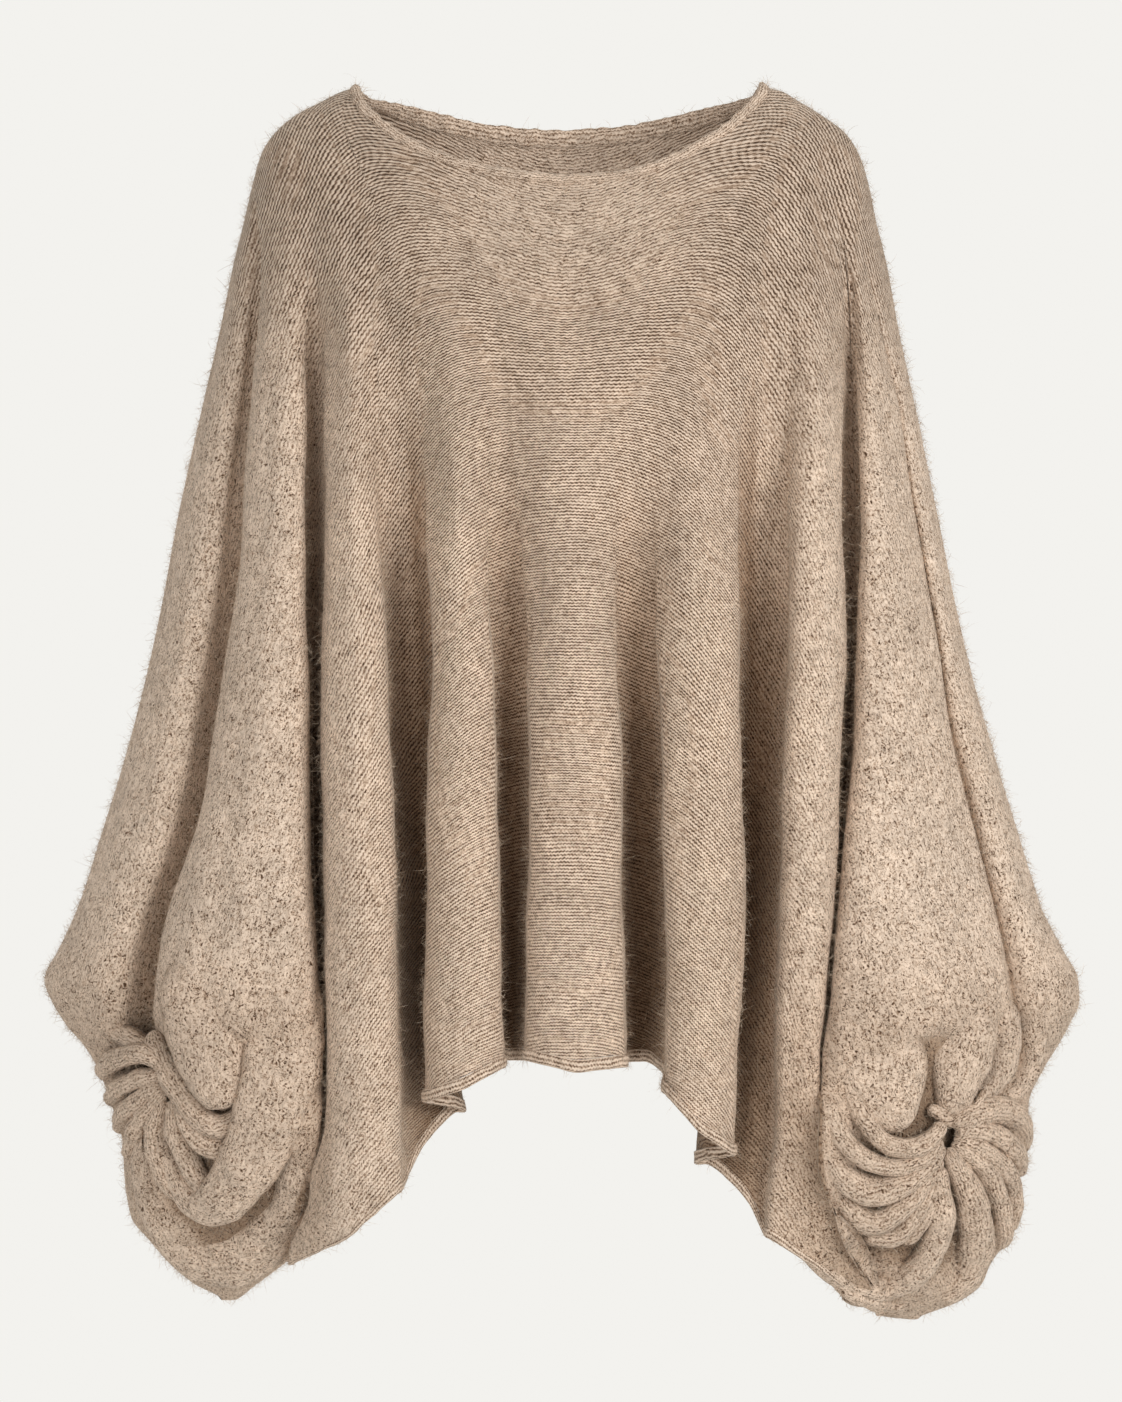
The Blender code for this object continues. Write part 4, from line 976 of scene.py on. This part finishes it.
# ------------------------------------------------------------------ materials
def node_tools(material):
    tree = material.node_tree
    nodes, links = tree.nodes, tree.links

    def put(value, socket):
        if hasattr(value, "is_output"):
            links.new(value, socket)
        else:
            socket.default_value = value

    def math_(op, a, b=0.0, c=0.0):
        n = nodes.new("ShaderNodeMath")
        n.operation = op
        for v, s in zip((a, b, c), n.inputs):
            put(v, s)
        return n.outputs[0]

    def noise(vector, scale, detail=2.0, rough=0.5, distortion=0.0, colour=False):
        n = nodes.new("ShaderNodeTexNoise")
        put(vector, n.inputs["Vector"])
        n.inputs["Scale"].default_value = scale
        n.inputs["Detail"].default_value = detail
        n.inputs["Roughness"].default_value = rough
        n.inputs["Distortion"].default_value = distortion
        return n.outputs["Color" if colour else "Fac"]

    def vec(x, y, z=0.0):
        n = nodes.new("ShaderNodeCombineXYZ")
        for v, s in zip((x, y, z), n.inputs):
            put(v, s)
        return n.outputs[0]

    def span(value, lo, hi, out_lo=0.0, out_hi=1.0, smooth=False):
        n = nodes.new("ShaderNodeMapRange")
        n.clamp = True
        if smooth:
            n.interpolation_type = "SMOOTHSTEP"
        for v, s in zip((value, lo, hi, out_lo, out_hi), n.inputs):
            put(v, s)
        return n.outputs[0]

    def mix(f, a, b, kind="MIX"):
        n = nodes.new("ShaderNodeMix")
        n.data_type = "RGBA"
        n.blend_type = kind
        n.clamp_factor = True
        put(f, n.inputs["Factor"])
        put(a, n.inputs[6])
        put(b, n.inputs[7])
        return n.outputs[2]

    return nodes, links, math_, noise, vec, span, mix


def knit_material(name, shade=1.0, relief=1.0):
    material = bpy.data.materials.new(name)
    material.use_nodes = True
    nodes, links, math_, noise, vec, span, mix = node_tools(material)
    shader = nodes["Principled BSDF"]
    uv = nodes.new("ShaderNodeUVMap")
    uv.uv_map = "knit"
    place = nodes.new("ShaderNodeNewGeometry").outputs["Position"]
    split = nodes.new("ShaderNodeSeparateXYZ")
    links.new(uv.outputs[0], split.inputs[0])
    u, v = math_("MULTIPLY", split.outputs[0], 100.0), math_("MULTIPLY", split.outputs[1], 100.0)

    def number(key):
        n = nodes.new("ShaderNodeAttribute")
        n.attribute_name = key
        return n.outputs["Fac"]

    fuzzy, deep, open_ = number("fuzzy"), number("deep"), number("open")
    wide = noise(place, 20.0, 2.0, 0.55)
    medium = noise(place, 80.0, 2.0, 0.6)
    small = noise(place, 300.0, 1.0, 0.5)
    wander = math_("MULTIPLY", math_("SUBTRACT", wide, 0.5), 1.2)
    wander = math_("MULTIPLY_ADD", math_("SUBTRACT", medium, 0.5), math_("MAXIMUM", math_("MULTIPLY_ADD", fuzzy, 3.6, -0.5), 0.35), wander)
    wander = math_("MULTIPLY_ADD", math_("SUBTRACT", small, 0.5), math_("MAXIMUM", math_("MULTIPLY_ADD", fuzzy, 1.7, -0.2), 0.16), wander)
    across = math_("MULTIPLY_ADD", math_("SUBTRACT", small, 0.5), 0.7, u)
    even = math_("MULTIPLY_ADD", open_, 0.26, 0.62)
    slant = math_("MULTIPLY", math_("SINE", math_("MULTIPLY", across, 2 * math.pi)), 0.10)

    def courses(rows):
        """Each course is a light ridge, and a darker hole shows between each pair of stitches."""
        ridge = math_("MULTIPLY_ADD", math_("COSINE", math_("MULTIPLY", math_("ADD", rows, slant), 2 * math.pi)), 0.5, 0.5)
        gap = math_("POWER", math_("SUBTRACT", 1.0, ridge), 1.25)
        hole = math_("MULTIPLY_ADD", math_("COSINE", math_("MULTIPLY", math_("MULTIPLY_ADD", math_("FLOOR", rows), 0.5, across), 2 * math.pi)), 0.5, 0.5)
        return math_("MULTIPLY", gap, math_("ADD", even, math_("MULTIPLY", math_("SUBTRACT", 1.0, even), hole)))

    # where the courses of the map lie too far apart, finer ones take over step by step
    level = math_("MULTIPLY", math_("LOGARITHM", math_("MAXIMUM", number("finer"), 0.5), 2.0), 2.0)
    whole = math_("FLOOR", level)
    change = span(math_("SUBTRACT", level, whole), 0.38, 0.62)
    coarse = math_("POWER", 2.0, math_("MULTIPLY", whole, 0.5))
    rows = math_("MULTIPLY_ADD", v, coarse, wander)
    finer_rows = math_("MULTIPLY_ADD", v, math_("MULTIPLY", coarse, math.sqrt(2.0)), wander)
    dark = math_("ADD", math_("MULTIPLY", courses(rows), math_("SUBTRACT", 1.0, change)), math_("MULTIPLY", courses(finer_rows), change))
    # every stitch has its own tone
    cell = nodes.new("ShaderNodeTexWhiteNoise")
    links.new(vec(math_("FLOOR", math_("ADD", rows, 0.5)), math_("FLOOR", across)), cell.inputs["Vector"])
    tone = cell.outputs["Value"]
    knit = math_("MULTIPLY_ADD", dark, math_("MULTIPLY_ADD", fuzzy, 0.42, -1.15), math_("MULTIPLY_ADD", fuzzy, -0.13, 1.02))
    knit = math_("MULTIPLY_ADD", math_("SUBTRACT", tone, 0.5), 0.26, knit)
    # yarn strands along the courses, and curled brushed strands over them
    strand = noise(vec(math_("MULTIPLY", u, 0.55), math_("MULTIPLY", v, 2.6), math_("MULTIPLY", wide, 1.5)), 1.0, 2.0, 0.6, 0.4)
    strand = span(strand, 0.30, 0.70)
    curls = None
    for shift, scale, bend in ((0.0, 235.0, 1.6), (3.7, 190.0, 2.2)):
        moved = nodes.new("ShaderNodeVectorMath")
        moved.operation = "ADD"
        links.new(place, moved.inputs[0])
        moved.inputs[1].default_value = (shift, shift * 0.6, -shift)
        n = noise(moved.outputs[0], scale, 1.0, 0.5, bend)
        line = math_("SUBTRACT", 1.0, math_("MULTIPLY", math_("ABSOLUTE", math_("SUBTRACT", n, 0.5)), 6.5))
        line = math_("MAXIMUM", line, 0.0)
        curls = line if curls is None else math_("MAXIMUM", curls, math_("MULTIPLY", line, 0.85))
    curly = math_("MULTIPLY_ADD", curls, 0.62, math_("MULTIPLY_ADD", strand, 0.24, 0.04))
    plain = math_("MULTIPLY_ADD", knit, 0.72, math_("MULTIPLY", strand, 0.26))
    blend = math_("MULTIPLY_ADD", fuzzy, 0.52, 0.10)
    body = math_("ADD", math_("MULTIPLY", plain, math_("SUBTRACT", 1.0, blend)), math_("MULTIPLY", curly, blend))
    body = math_("MULTIPLY_ADD", knit, math_("MULTIPLY", blend, 0.22), body)
    body = math_("MULTIPLY_ADD", math_("SUBTRACT", curls, 0.40), math_("MULTIPLY", fuzzy, 0.36), body)
    body = math_("MULTIPLY_ADD", math_("SUBTRACT", body, 0.58), 1.30, 0.575)
    # colour: dark gaps, warm middle, pale raised threads
    ramp = nodes.new("ShaderNodeValToRGB")
    links.new(body, ramp.inputs[0])
    stops = ((0.10, (0.080, 0.043, 0.024, 1)), (0.28, (0.240, 0.153, 0.100, 1)), (0.47, (0.475, 0.342, 0.250, 1)), (0.68, (0.700, 0.537, 0.412, 1)), (0.88, (0.920, 0.755, 0.618, 1)))
    for i, (at, colour) in enumerate(stops):
        e = ramp.color_ramp.elements[i] if i < 2 else ramp.color_ramp.elements.new(at)
        e.position, e.color = at, colour
    colour = ramp.outputs[0]
    heather = noise(vec(math_("MULTIPLY", u, 0.45), math_("MULTIPLY", v, 0.85), 11.0), 1.0, 2.0, 0.7)
    colour = mix(span(heather, 0.50, 0.68, 0.0, 0.34), colour, (0.285, 0.195, 0.135, 1))
    mottle = math_("ADD", math_("MULTIPLY", wide, 0.36), math_("MULTIPLY", medium, 0.30))
    colour = mix(1.0, colour, vec(math_("ADD", mottle, 0.68), math_("ADD", mottle, 0.678), math_("ADD", mottle, 0.672)), "MULTIPLY")
    # painted shade: the deep attribute darkens the colour and warms it in the valleys, on and behind the pleats and low
    # on the sleeves; the colour is also darker where the open attribute is high
    low = span(deep, 0.24, 0.95)
    painted_shade_and_tone = math_("MULTIPLY_ADD", low, -0.75, shade)
    painted_shade_and_tone = math_("MULTIPLY_ADD", open_, -0.19, painted_shade_and_tone)
    colour = mix(1.0, colour, vec(painted_shade_and_tone, math_("MULTIPLY", painted_shade_and_tone, math_("MULTIPLY_ADD", low, -0.20, 1.0)), math_("MULTIPLY", painted_shade_and_tone, math_("MULTIPLY_ADD", low, -0.38, 1.0))), "MULTIPLY")
    links.new(colour, shader.inputs["Base Color"])
    shader.inputs["Roughness"].default_value = 0.92
    shader.inputs["Specular IOR Level"].default_value = 0.12
    shader.inputs["Sheen Weight"].default_value = 0.45
    shader.inputs["Sheen Roughness"].default_value = 0.40
    shader.inputs["Sheen Tint"].default_value = (0.95, 0.86, 0.74, 1)
    bump = nodes.new("ShaderNodeBump")
    bump.inputs["Strength"].default_value = 0.8
    bump.inputs["Distance"].default_value = 0.0009 * relief
    links.new(body, bump.inputs["Height"])
    links.new(bump.outputs[0], shader.inputs["Normal"])
    return material


def fuzz_material():
    material = bpy.data.materials.new("knit_fuzz")
    material.use_nodes = True
    nodes, links, math_, noise, vec, span, mix = node_tools(material)
    shader = nodes["Principled BSDF"]
    place = nodes.new("ShaderNodeNewGeometry").outputs["Position"]
    tone = noise(place, 420.0, 1.0, 0.5)
    colour = mix(span(tone, 0.38, 0.62), (0.42, 0.30, 0.205, 1), (0.80, 0.69, 0.56, 1))
    links.new(colour, shader.inputs["Base Color"])
    shader.inputs["Roughness"].default_value = 0.9
    shader.inputs["Specular IOR Level"].default_value = 0.1
    return material


MATERIALS = {
    "body": knit_material("knit_body"),
    "trim": knit_material("knit_trim", shade=0.98),
    "fuzz": fuzz_material(),
}


# ------------------------------------------------------------------ pieces
made = {}
hair_beds = []


def chest_of(x, z):
    """1 below the middle of the front neckline, where the nap hides the courses."""
    return ease(1.3 - np.abs(x - COURSE_MIDDLE) / 110.0) * ease((z + 175.0) / 70.0)


def open_of(p):
    """How much the courses stand apart, with dark gaps: most at the shoulders."""
    x, z = seen(p)
    return ease((z + 330.0) / 240.0) * (0.60 + 0.40 * ease((np.abs(x - COURSE_MIDDLE) - 60.0) / 90.0)) * (1 - 0.2 * chest_of(x, z))


def fuzzy_of(p):
    """How brushed and tangled the knit looks: sleeves most, shoulders least."""
    x, z = seen(p)
    low = ease((-60.0 - z) / 200.0)
    wide = ease((np.abs(x - COURSE_MIDDLE) - 110.0) / 110.0)
    return np.clip(0.15 + 0.75 * wide * low + 0.2 * ease((-430.0 - z) / 350.0) + 0.42 * chest_of(x, z), 0, 1)


def build_panel(word, panel, zone_names, body_step, sleeve_step, rows_body, rows_sleeve):
    zones = [c.zone for c in panel.columns]
    count = len(zones)
    left_end = max(i for i, z in enumerate(zones) if z < 0)
    right_start = min(i for i, z in enumerate(zones) if z > 0)
    parts = []
    if zone_names:
        parts = [(zone_names[0], 0, left_end, True), (zone_names[1], left_end, right_start, False), (zone_names[2], right_start, count - 1, True)]
    else:
        parts = [(f"{word}_panel", 0, count - 1, False)]
    for name, first, last, sleeve in parts:
        spans = panel.spans(sleeve_step if sleeve else body_step)
        shares = rows_sleeve if sleeve else rows_body
        p = panel.sample(first, last, shares, spans)
        places = places_of(spans, first, last)
        uv = knits[word].read(shares, places)
        finer, uv = uv[..., 2], uv[..., :2]
        deep = valley_shade_of(panel, spans, first, last, shares)
        q, behind = finished(p, panel.hand_y)
        # painted shade where the sleeve lies back behind the pleats
        deep = np.clip(np.maximum(deep, behind * 0.8), 0, 1)
        sx, sz = seen(q)
        # painted shade: the sleeves darker towards their lower ends, outward of 140 mm from the middle
        deep = np.maximum(deep, (0.24 + 0.15 * ease((-590.0 - sz) / 130.0)) * ease((np.abs(sx) - 140.0) / 40.0))
        if word == "back":
            # its outline goes in under the front's, so the seam has no gap
            for edge in (q[0], q[:, 0], q[:, -1]):
                edge[..., 1] -= 1.3
                edge[..., 0] -= 0.3 * np.sign(edge[..., 0])
            q[0, :, 2] -= 0.3
        fuzzy = fuzzy_of(q)
        across = np.linalg.norm(np.diff(q, axis=1), axis=2).sum(1)
        down = np.linalg.norm(np.diff(q, axis=0), axis=2).sum(0)
        print(name, "across", round(across.max()), "down", round(down.max()), "mm")
        faces = grid_faces(*q.shape[:2], panel.hand_y)
        made[name] = mesh_object(name + "_knit", q.reshape(-1, 3), faces, uv.reshape(-1, 2), {"deep": deep.ravel(), "fuzzy": fuzzy.ravel(), "open": open_of(q).ravel(), "finer": finer.ravel()}, MATERIALS["body"])
        print(name, len(faces) * 2, "triangles")
        hair_beds.append((q, grid_normals(q, panel.hand_y), deep))
    return parts


F = FINE
build_panel(
    "front",
    front,
    ("front_sleeve_l", "front_panel", "front_sleeve_r"),
    4.6 / F,
    2.3 / F,
    np.linspace(0, 1, int(215 * F)),
    row_shares(int(105 * F), int(215 * F), 0.60),
)
build_panel("back", back, None, 5.6 / F, 5.6 / F, np.linspace(0, 1, int(170 * F)), None)


def hem_band(word, panel):
    """The knitted edge: the panel's last HEM_HEIGHT as a closed strip with a round lower edge."""
    free = [i for i, h in enumerate(panel.hem) if h > 0]
    first, last = free[0], free[-1]
    spans = panel.spans(3.0 / F)
    shares = np.array([0.02, 0.12, 0.3, 0.5, 0.7, 0.86, 0.96, 1.0])
    p = panel.sample(first, last, shares, spans, band=True)
    n = grid_normals(p, panel.hand_y)
    places = places_of(spans, first, last)
    puff = np.array([0.3, 0.9, 1.3, 1.4, 1.3, 1.0, 0.5, 0.0])[:, None, None]
    thick = np.array([2.0, 2.6, 3.0, 3.1, 3.0, 2.6, 1.6, 0.4])[:, None, None]
    outer = p + n * puff
    inner = p + n * (puff - thick)
    ring = np.concatenate([outer, inner[::-1]], axis=0)
    ring = ring + (0.25 * LUMP(ring))[..., None] * np.concatenate([n, -n[::-1]], axis=0)
    rows, cols = ring.shape[:2]
    closed = np.concatenate([ring, ring[:1]], axis=0)
    uv = knits[word].read(np.array([1.0]), places)[0]
    uvs = np.stack([np.broadcast_to(uv[:, 0], (rows + 1, cols)), np.broadcast_to(np.linspace(0, 8, rows + 1)[:, None], (rows + 1, cols))], axis=-1)
    r, c = np.meshgrid(np.arange(rows), np.arange(cols - 1), indexing="ij")
    a = r * cols + c
    b = (r + 1) * cols + c
    quads = np.stack([a, b, b + 1, a + 1], axis=-1).reshape(-1, 4)
    if panel.hand_y > 0:
        quads = quads[:, ::-1]
    zeros = np.zeros(closed.shape[:2])
    made[f"hem_band_{word}"] = mesh_object(f"hem_band_{word}_knit", closed.reshape(-1, 3), quads, uvs.reshape(-1, 2), {"deep": zeros.ravel(), "fuzzy": (zeros + 0.35).ravel(), "open": zeros.ravel(), "finer": zeros.ravel() + 1.0}, MATERIALS["trim"])
    hair_beds.append((outer, n, np.zeros(outer.shape[:2])))


hem_band("front", front)
hem_band("back", back)


def neckband():
    """A rolled knitted band swept round the neck, narrow in front and wider behind."""
    loop, up, tall = [], [], []
    for panel, step in ((front, 1), (back, -1)):
        on = [i for i, c in enumerate(panel.columns) if panel.neck[0][0] < c.top_x < panel.neck[-1][0]]
        first, last = on[0] - 1, on[-1] + 1
        spans = panel.spans(3.0 / F)
        p = panel.sample(first, last, np.array([0.0, 0.012]), spans)
        edge, below = p[0], p[1]
        x = edge[:, 0]
        inside = np.abs(x) < 151.5
        edge, below, x = edge[inside][::step], below[inside][::step], x[inside][::step]
        u = edge - below
        u /= np.linalg.norm(u, axis=1)[:, None]
        loop.append(edge)
        up.append(u)
        corner = ease((150.0 - np.abs(x)) / 40.0)
        tall.append((8.0 if step > 0 else 9.0 + 6.0 * corner))
        if np.isscalar(tall[-1]):
            tall[-1] = np.full(len(x), tall[-1])
    loop, up, tall = np.concatenate(loop), np.concatenate(up), np.concatenate(tall)
    size = int(520 * F)
    run = np.concatenate([[0], np.cumsum(np.linalg.norm(np.roll(loop, -1, 0) - loop, axis=1))])
    want = np.linspace(0, run[-1], size, endpoint=False)

    def even(values):
        closed = np.concatenate([values, values[:1]])
        return np.stack([np.interp(want, run, closed[:, a]) for a in range(closed.shape[1])], axis=1)

    loop, up, tall = even(loop), even(up), even(tall[:, None])
    for _ in range(int(7 * F)):
        loop = (np.roll(loop, 1, 0) + 2 * loop + np.roll(loop, -1, 0)) / 4
        up = (np.roll(up, 1, 0) + 2 * up + np.roll(up, -1, 0)) / 4
        tall = (np.roll(tall, 1, 0) + 2 * tall + np.roll(tall, -1, 0)) / 4
    runs = np.roll(loop, -1, 0) - np.roll(loop, 1, 0)
    runs /= np.linalg.norm(runs, axis=1)[:, None]
    up = up - runs * (up * runs).sum(1)[:, None]
    up /= np.linalg.norm(up, axis=1)[:, None]
    out = np.cross(runs, up)
    sides = 20
    turn = np.linspace(0, 2 * math.pi, sides, endpoint=False)
    rings = []
    lumps = Waves(9.0, 9)
    for a in turn:
        lean = 2.3 * math.cos(a)
        q = loop + up * (-1.2 - 2.6 * ease((np.abs(loop[:, :1]) - 128.0) / 20.0) - np.maximum(0.0, tall - 8.5) + tall / 2 * (1 + math.sin(a))) + out * lean
        rings.append(q + (up * math.sin(a) + out * math.cos(a)) * (0.35 * lumps(q))[:, None])
    ring = np.array(rings)
    ring = np.concatenate([ring, ring[:1]], axis=0)
    ring = np.concatenate([ring, ring[:, :1]], axis=1)
    rows, cols = ring.shape[:2]
    uvs = np.stack([np.broadcast_to(np.linspace(0, run[-1] / 3.0, cols), (rows, cols)), np.broadcast_to(np.linspace(0, 12, rows)[:, None], (rows, cols))], axis=-1)
    quads = grid_faces(rows, cols, -1)
    zeros = np.zeros(rows * cols)
    made["neckband"] = mesh_object("neckband_knit", ring.reshape(-1, 3), quads, uvs.reshape(-1, 2), {"deep": zeros, "fuzzy": zeros + 0.55, "open": zeros + 0.1, "finer": zeros + 1.0}, MATERIALS["trim"])
    hair_beds.append((ring, grid_normals(ring, -1), np.zeros(ring.shape[:2])))


neckband()


def pleats():
    """The folds on each sleeve end and the gathered pleats that make its cuff."""
    plain = tuple((n, (0,) * 8 if n.startswith("outer") else d, t) for n, d, t in FRONT_VALLEYS)
    lie = Lie(Panel(FRONT_RIDGES, plain, FRONT_HEM, FRONT_NECK, FRONT_FORM, -1, fine=400))
    seed = 0
    for name, group in (("sleeve_folds_left", LEFT_FOLDS), ("cuff_left", LEFT_PLEATS), ("sleeve_folds_right", RIGHT_FOLDS), ("cuff_right", RIGHT_PLEATS)):
        points, faces, uvs, deeps, count = [], [], [], [], 0
        for rows in group:
            seed += 1
            q, normal, uv, deep = pleat(rows, lie, seed)
            r, c = q.shape[:2]
            points.append(q.reshape(-1, 3))
            quads = grid_faces(r, c, -1)
            middle = q[r // 2 : r // 2 + 2, c // 4 : c // 4 + 2].reshape(-1, 3)
            way = np.cross(q[r // 2 + 1, c // 4] - q[r // 2, c // 4], q[r // 2, c // 4 + 1] - q[r // 2, c // 4])
            if way @ normal[r // 2, c // 4] < 0:
                quads = quads[:, ::-1]
            faces.append(quads + count)
            count += r * c
            uvs.append(uv.reshape(-1, 2))
            deeps.append(deep.ravel())
            hair_beds.append((q, normal, deep))
        points, faces = np.concatenate(points), np.concatenate(faces)
        kind = "trim" if name.startswith("cuff") else "body"
        ones = np.ones(len(points))
        made[name] = mesh_object(name + "_knit", points, faces, np.concatenate(uvs), {"deep": np.concatenate(deeps), "fuzzy": ones * (0.78 if kind == "trim" else 1.0), "open": ones * 0.0, "finer": ones}, MATERIALS[kind])
        print(name, len(faces) * 2, "triangles")


pleats()


# ------------------------------------------------------------------ brushed fibres
def fibres(name, beds, wanted, seed, length=(4.0, 11.0), width=(0.10, 0.26), lift=(0.1, 0.8)):
    """Short curved ribbons standing out of the knit, as one joined mesh."""
    r = np.random.default_rng(SEED * 77 + seed)
    roots, normals, dirs = [], [], []
    weights = []
    for q, n, deep in beds:
        e1, e2 = q[1:, :-1] - q[:-1, :-1], q[:-1, 1:] - q[:-1, :-1]
        area = np.linalg.norm(np.cross(e1, e2), axis=2)
        edge = 1 - np.abs(n[:-1, :-1, 1])
        weights.append(area * (0.25 + 1.6 * edge**2) * (1 - 0.8 * deep[:-1, :-1]))
    total = sum(a.sum() for a in weights)
    for (q, n, deep), weight in zip(beds, weights):
        count = int(round(wanted * weight.sum() / total))
        if not count:
            continue
        cell = r.choice(weight.size, count, p=weight.ravel() / weight.sum())
        i, j = np.unravel_index(cell, weight.shape)
        s, t = r.random((2, count, 1))
        here = lambda f: (f[i, j] * (1 - s) + f[i + 1, j] * s) * (1 - t) + (f[i, j + 1] * (1 - s) + f[i + 1, j + 1] * s) * t
        p, m = here(q), here(n)
        m /= np.maximum(np.linalg.norm(m, axis=1), 1e-9)[:, None]
        roots.append(p)
        normals.append(m)
        dirs.append(course_direction(p, m))
    p, m, d = np.concatenate(roots), np.concatenate(normals), np.concatenate(dirs)
    count = len(p)
    side = np.cross(m, d)
    turn = r.uniform(-math.pi, math.pi, count)
    lie = d * np.cos(turn)[:, None] + side * np.sin(turn)[:, None]
    rise = r.uniform(*lift, count)[:, None] ** 1.6
    size = r.uniform(*length, count)[:, None] * np.where(r.random(count) < 0.12, 1.7, 1.0)[:, None]
    way = lie * (1 - rise * 0.5) + m * (0.25 + rise)
    way /= np.linalg.norm(way, axis=1)[:, None]
    curl = r.normal(size=(count, 3)) * 0.5
    flat = np.cross(way, r.normal(size=(count, 3)) * 0.6 + m)
    flat /= np.maximum(np.linalg.norm(flat, axis=1), 1e-9)[:, None]
    w = r.uniform(*width, count)[:, None] / 2
    at = p - m * 0.3
    points = [at - flat * w, at + flat * w]
    for step, share in enumerate((0.95, 0.7)):
        at = at + way * size / 3
        points += [at - flat * w * share, at + flat * w * share]
        way = way + curl - m * 0.22 + np.array([0, 0, -0.08])
        way /= np.linalg.norm(way, axis=1)[:, None]
    points.append(at + way * size / 3)
    points = np.stack(points, axis=1).reshape(-1, 3)
    base = np.arange(count)[:, None] * 7
    tris = [base + np.array(t) for t in ((0, 1, 3), (0, 3, 2), (2, 3, 5), (2, 5, 4), (4, 5, 6))]
    tris = np.concatenate(tris, axis=1).reshape(-1, 3)
    return mesh_object(name, points, tris, material=MATERIALS["fuzz"], smooth=False)


fronts = [b for b in hair_beds if b[1][..., 1].mean() < 0.02]
backs = [b for b in hair_beds if b[1][..., 1].mean() >= 0.02]
HAIRS = 1.0
fuzz = [fibres("fuzz_front_1", fronts, int(31000 * HAIRS), 0), fibres("fuzz_front_2", fronts, int(31000 * HAIRS), 1)]
fuzz.append(fibres("fuzz_back", backs, int(24000 * HAIRS), 5))

# ------------------------------------------------------------------ what each piece is
REPLACED = {
    "front_sleeve_l": ("front_panel", "knit_body"),
    "front_panel": ("front_panel", "knit_body"),
    "front_sleeve_r": ("front_panel", "knit_body"),
    "sleeve_folds_left": ("front_panel", "knit_body"),
    "sleeve_folds_right": ("front_panel", "knit_body"),
    "cuff_left": ("cuff_left", "knit_trim"),
    "cuff_right": ("cuff_right", "knit_trim"),
    "back_panel": ("back_panel", "knit_body"),
    "hem_band_front": ("hem_band_front", "knit_trim"),
    "hem_band_back": ("hem_band_back", "knit_trim"),
    "neckband": ("neckband", "knit_trim"),
}
for key, (node, slot) in REPLACED.items():
    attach(made[key], "root")
    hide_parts(node)
for piece in fuzz:
    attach(piece, "root")


def area_of(piece):
    """Square metres of a mesh."""
    return sum(f.area for f in piece.data.polygons)


for key in REPLACED:
    print(key, round(area_of(made[key]), 4), "m2")

# ------------------------------------------------------------------ studio
BACKDROP = (0.896, 0.886, 0.855, 1)
floor_data = bpy.data.meshes.new("floor")
turn = [2 * math.pi * i / 64 for i in range(64)]
floor_data.from_pydata([(1.1 * math.cos(a), 1.1 * math.sin(a), -1.5) for a in turn], [], [tuple(range(64))])
floor = bpy.data.objects.new("floor", floor_data)
paint = bpy.data.materials.new("pale_floor")
paint.use_nodes = True
shader = paint.node_tree.nodes["Principled BSDF"]
shader.inputs["Base Color"].default_value = (0, 0, 0, 1)
shader.inputs["Specular IOR Level"].default_value = 0.0
shader.inputs["Emission Color"].default_value = BACKDROP
shader.inputs["Emission Strength"].default_value = 1.0
floor_data.materials.append(paint)
bpy.context.scene.collection.objects.link(floor)

# an even pale backdrop, and a softer light from it than its own brightness
world = bpy.data.worlds.new("studio")
bpy.context.scene.world = world
world.use_nodes = True
tree = world.node_tree
shown = tree.nodes["Background"]
shown.inputs[0].default_value = BACKDROP
shown.inputs[1].default_value = 1.0
lit = tree.nodes.new("ShaderNodeBackground")
lit.inputs[0].default_value = (1.0, 0.968, 0.925, 1)
lit.inputs[1].default_value = 0.50
path = tree.nodes.new("ShaderNodeLightPath")
either = tree.nodes.new("ShaderNodeMixShader")
tree.links.new(path.outputs["Is Camera Ray"], either.inputs[0])
tree.links.new(lit.outputs[0], either.inputs[1])
tree.links.new(shown.outputs[0], either.inputs[2])
tree.links.new(either.outputs[0], tree.nodes["World Output"].inputs["Surface"])


def soft_box(name, place, aim, size, power, colour=(1.0, 0.985, 0.96)):
    data = bpy.data.lights.new(name, "AREA")
    data.shape = "RECTANGLE"
    data.size, data.size_y = size
    data.energy = power
    data.color = colour
    lamp = bpy.data.objects.new(name, data)
    bpy.context.scene.collection.objects.link(lamp)
    lamp.location = place
    lamp.rotation_euler = (Vector(aim) - Vector(place)).to_track_quat("-Z", "Y").to_euler()
    return lamp


soft_box("key", (2.1, -2.3, 0.25), (0.0, 0.0, -0.45), (1.3, 1.5), 48)
soft_box("fill", (-1.3, -2.8, 0.1), (0.0, 0.0, -0.45), (1.6, 1.6), 18)
soft_box("inside", (0.0, -0.02, -0.15), (0.0, 0.09, -0.03), (0.22, 0.06), 0.09).visible_camera = False
soft_box("back", (-1.0, 2.6, 0.8), (0.0, 0.0, -0.45), (1.8, 1.8), 22)

camera_data = bpy.data.cameras.new("camera")
camera_data.sensor_fit = "VERTICAL"
camera_data.sensor_height = 36.0
camera_data.lens = 36.0 * 3.2 / (1402 * 0.00073)
camera_data.clip_start, camera_data.clip_end = 0.05, 100.0
camera = bpy.data.objects.new("camera", camera_data)
camera.location = (0.00073, -3.2, -0.4446)
camera.rotation_euler = (math.pi / 2, 0, 0)
bpy.context.scene.collection.objects.link(camera)
bpy.context.scene.camera = camera
bpy.context.scene.view_settings.view_transform = "Standard"
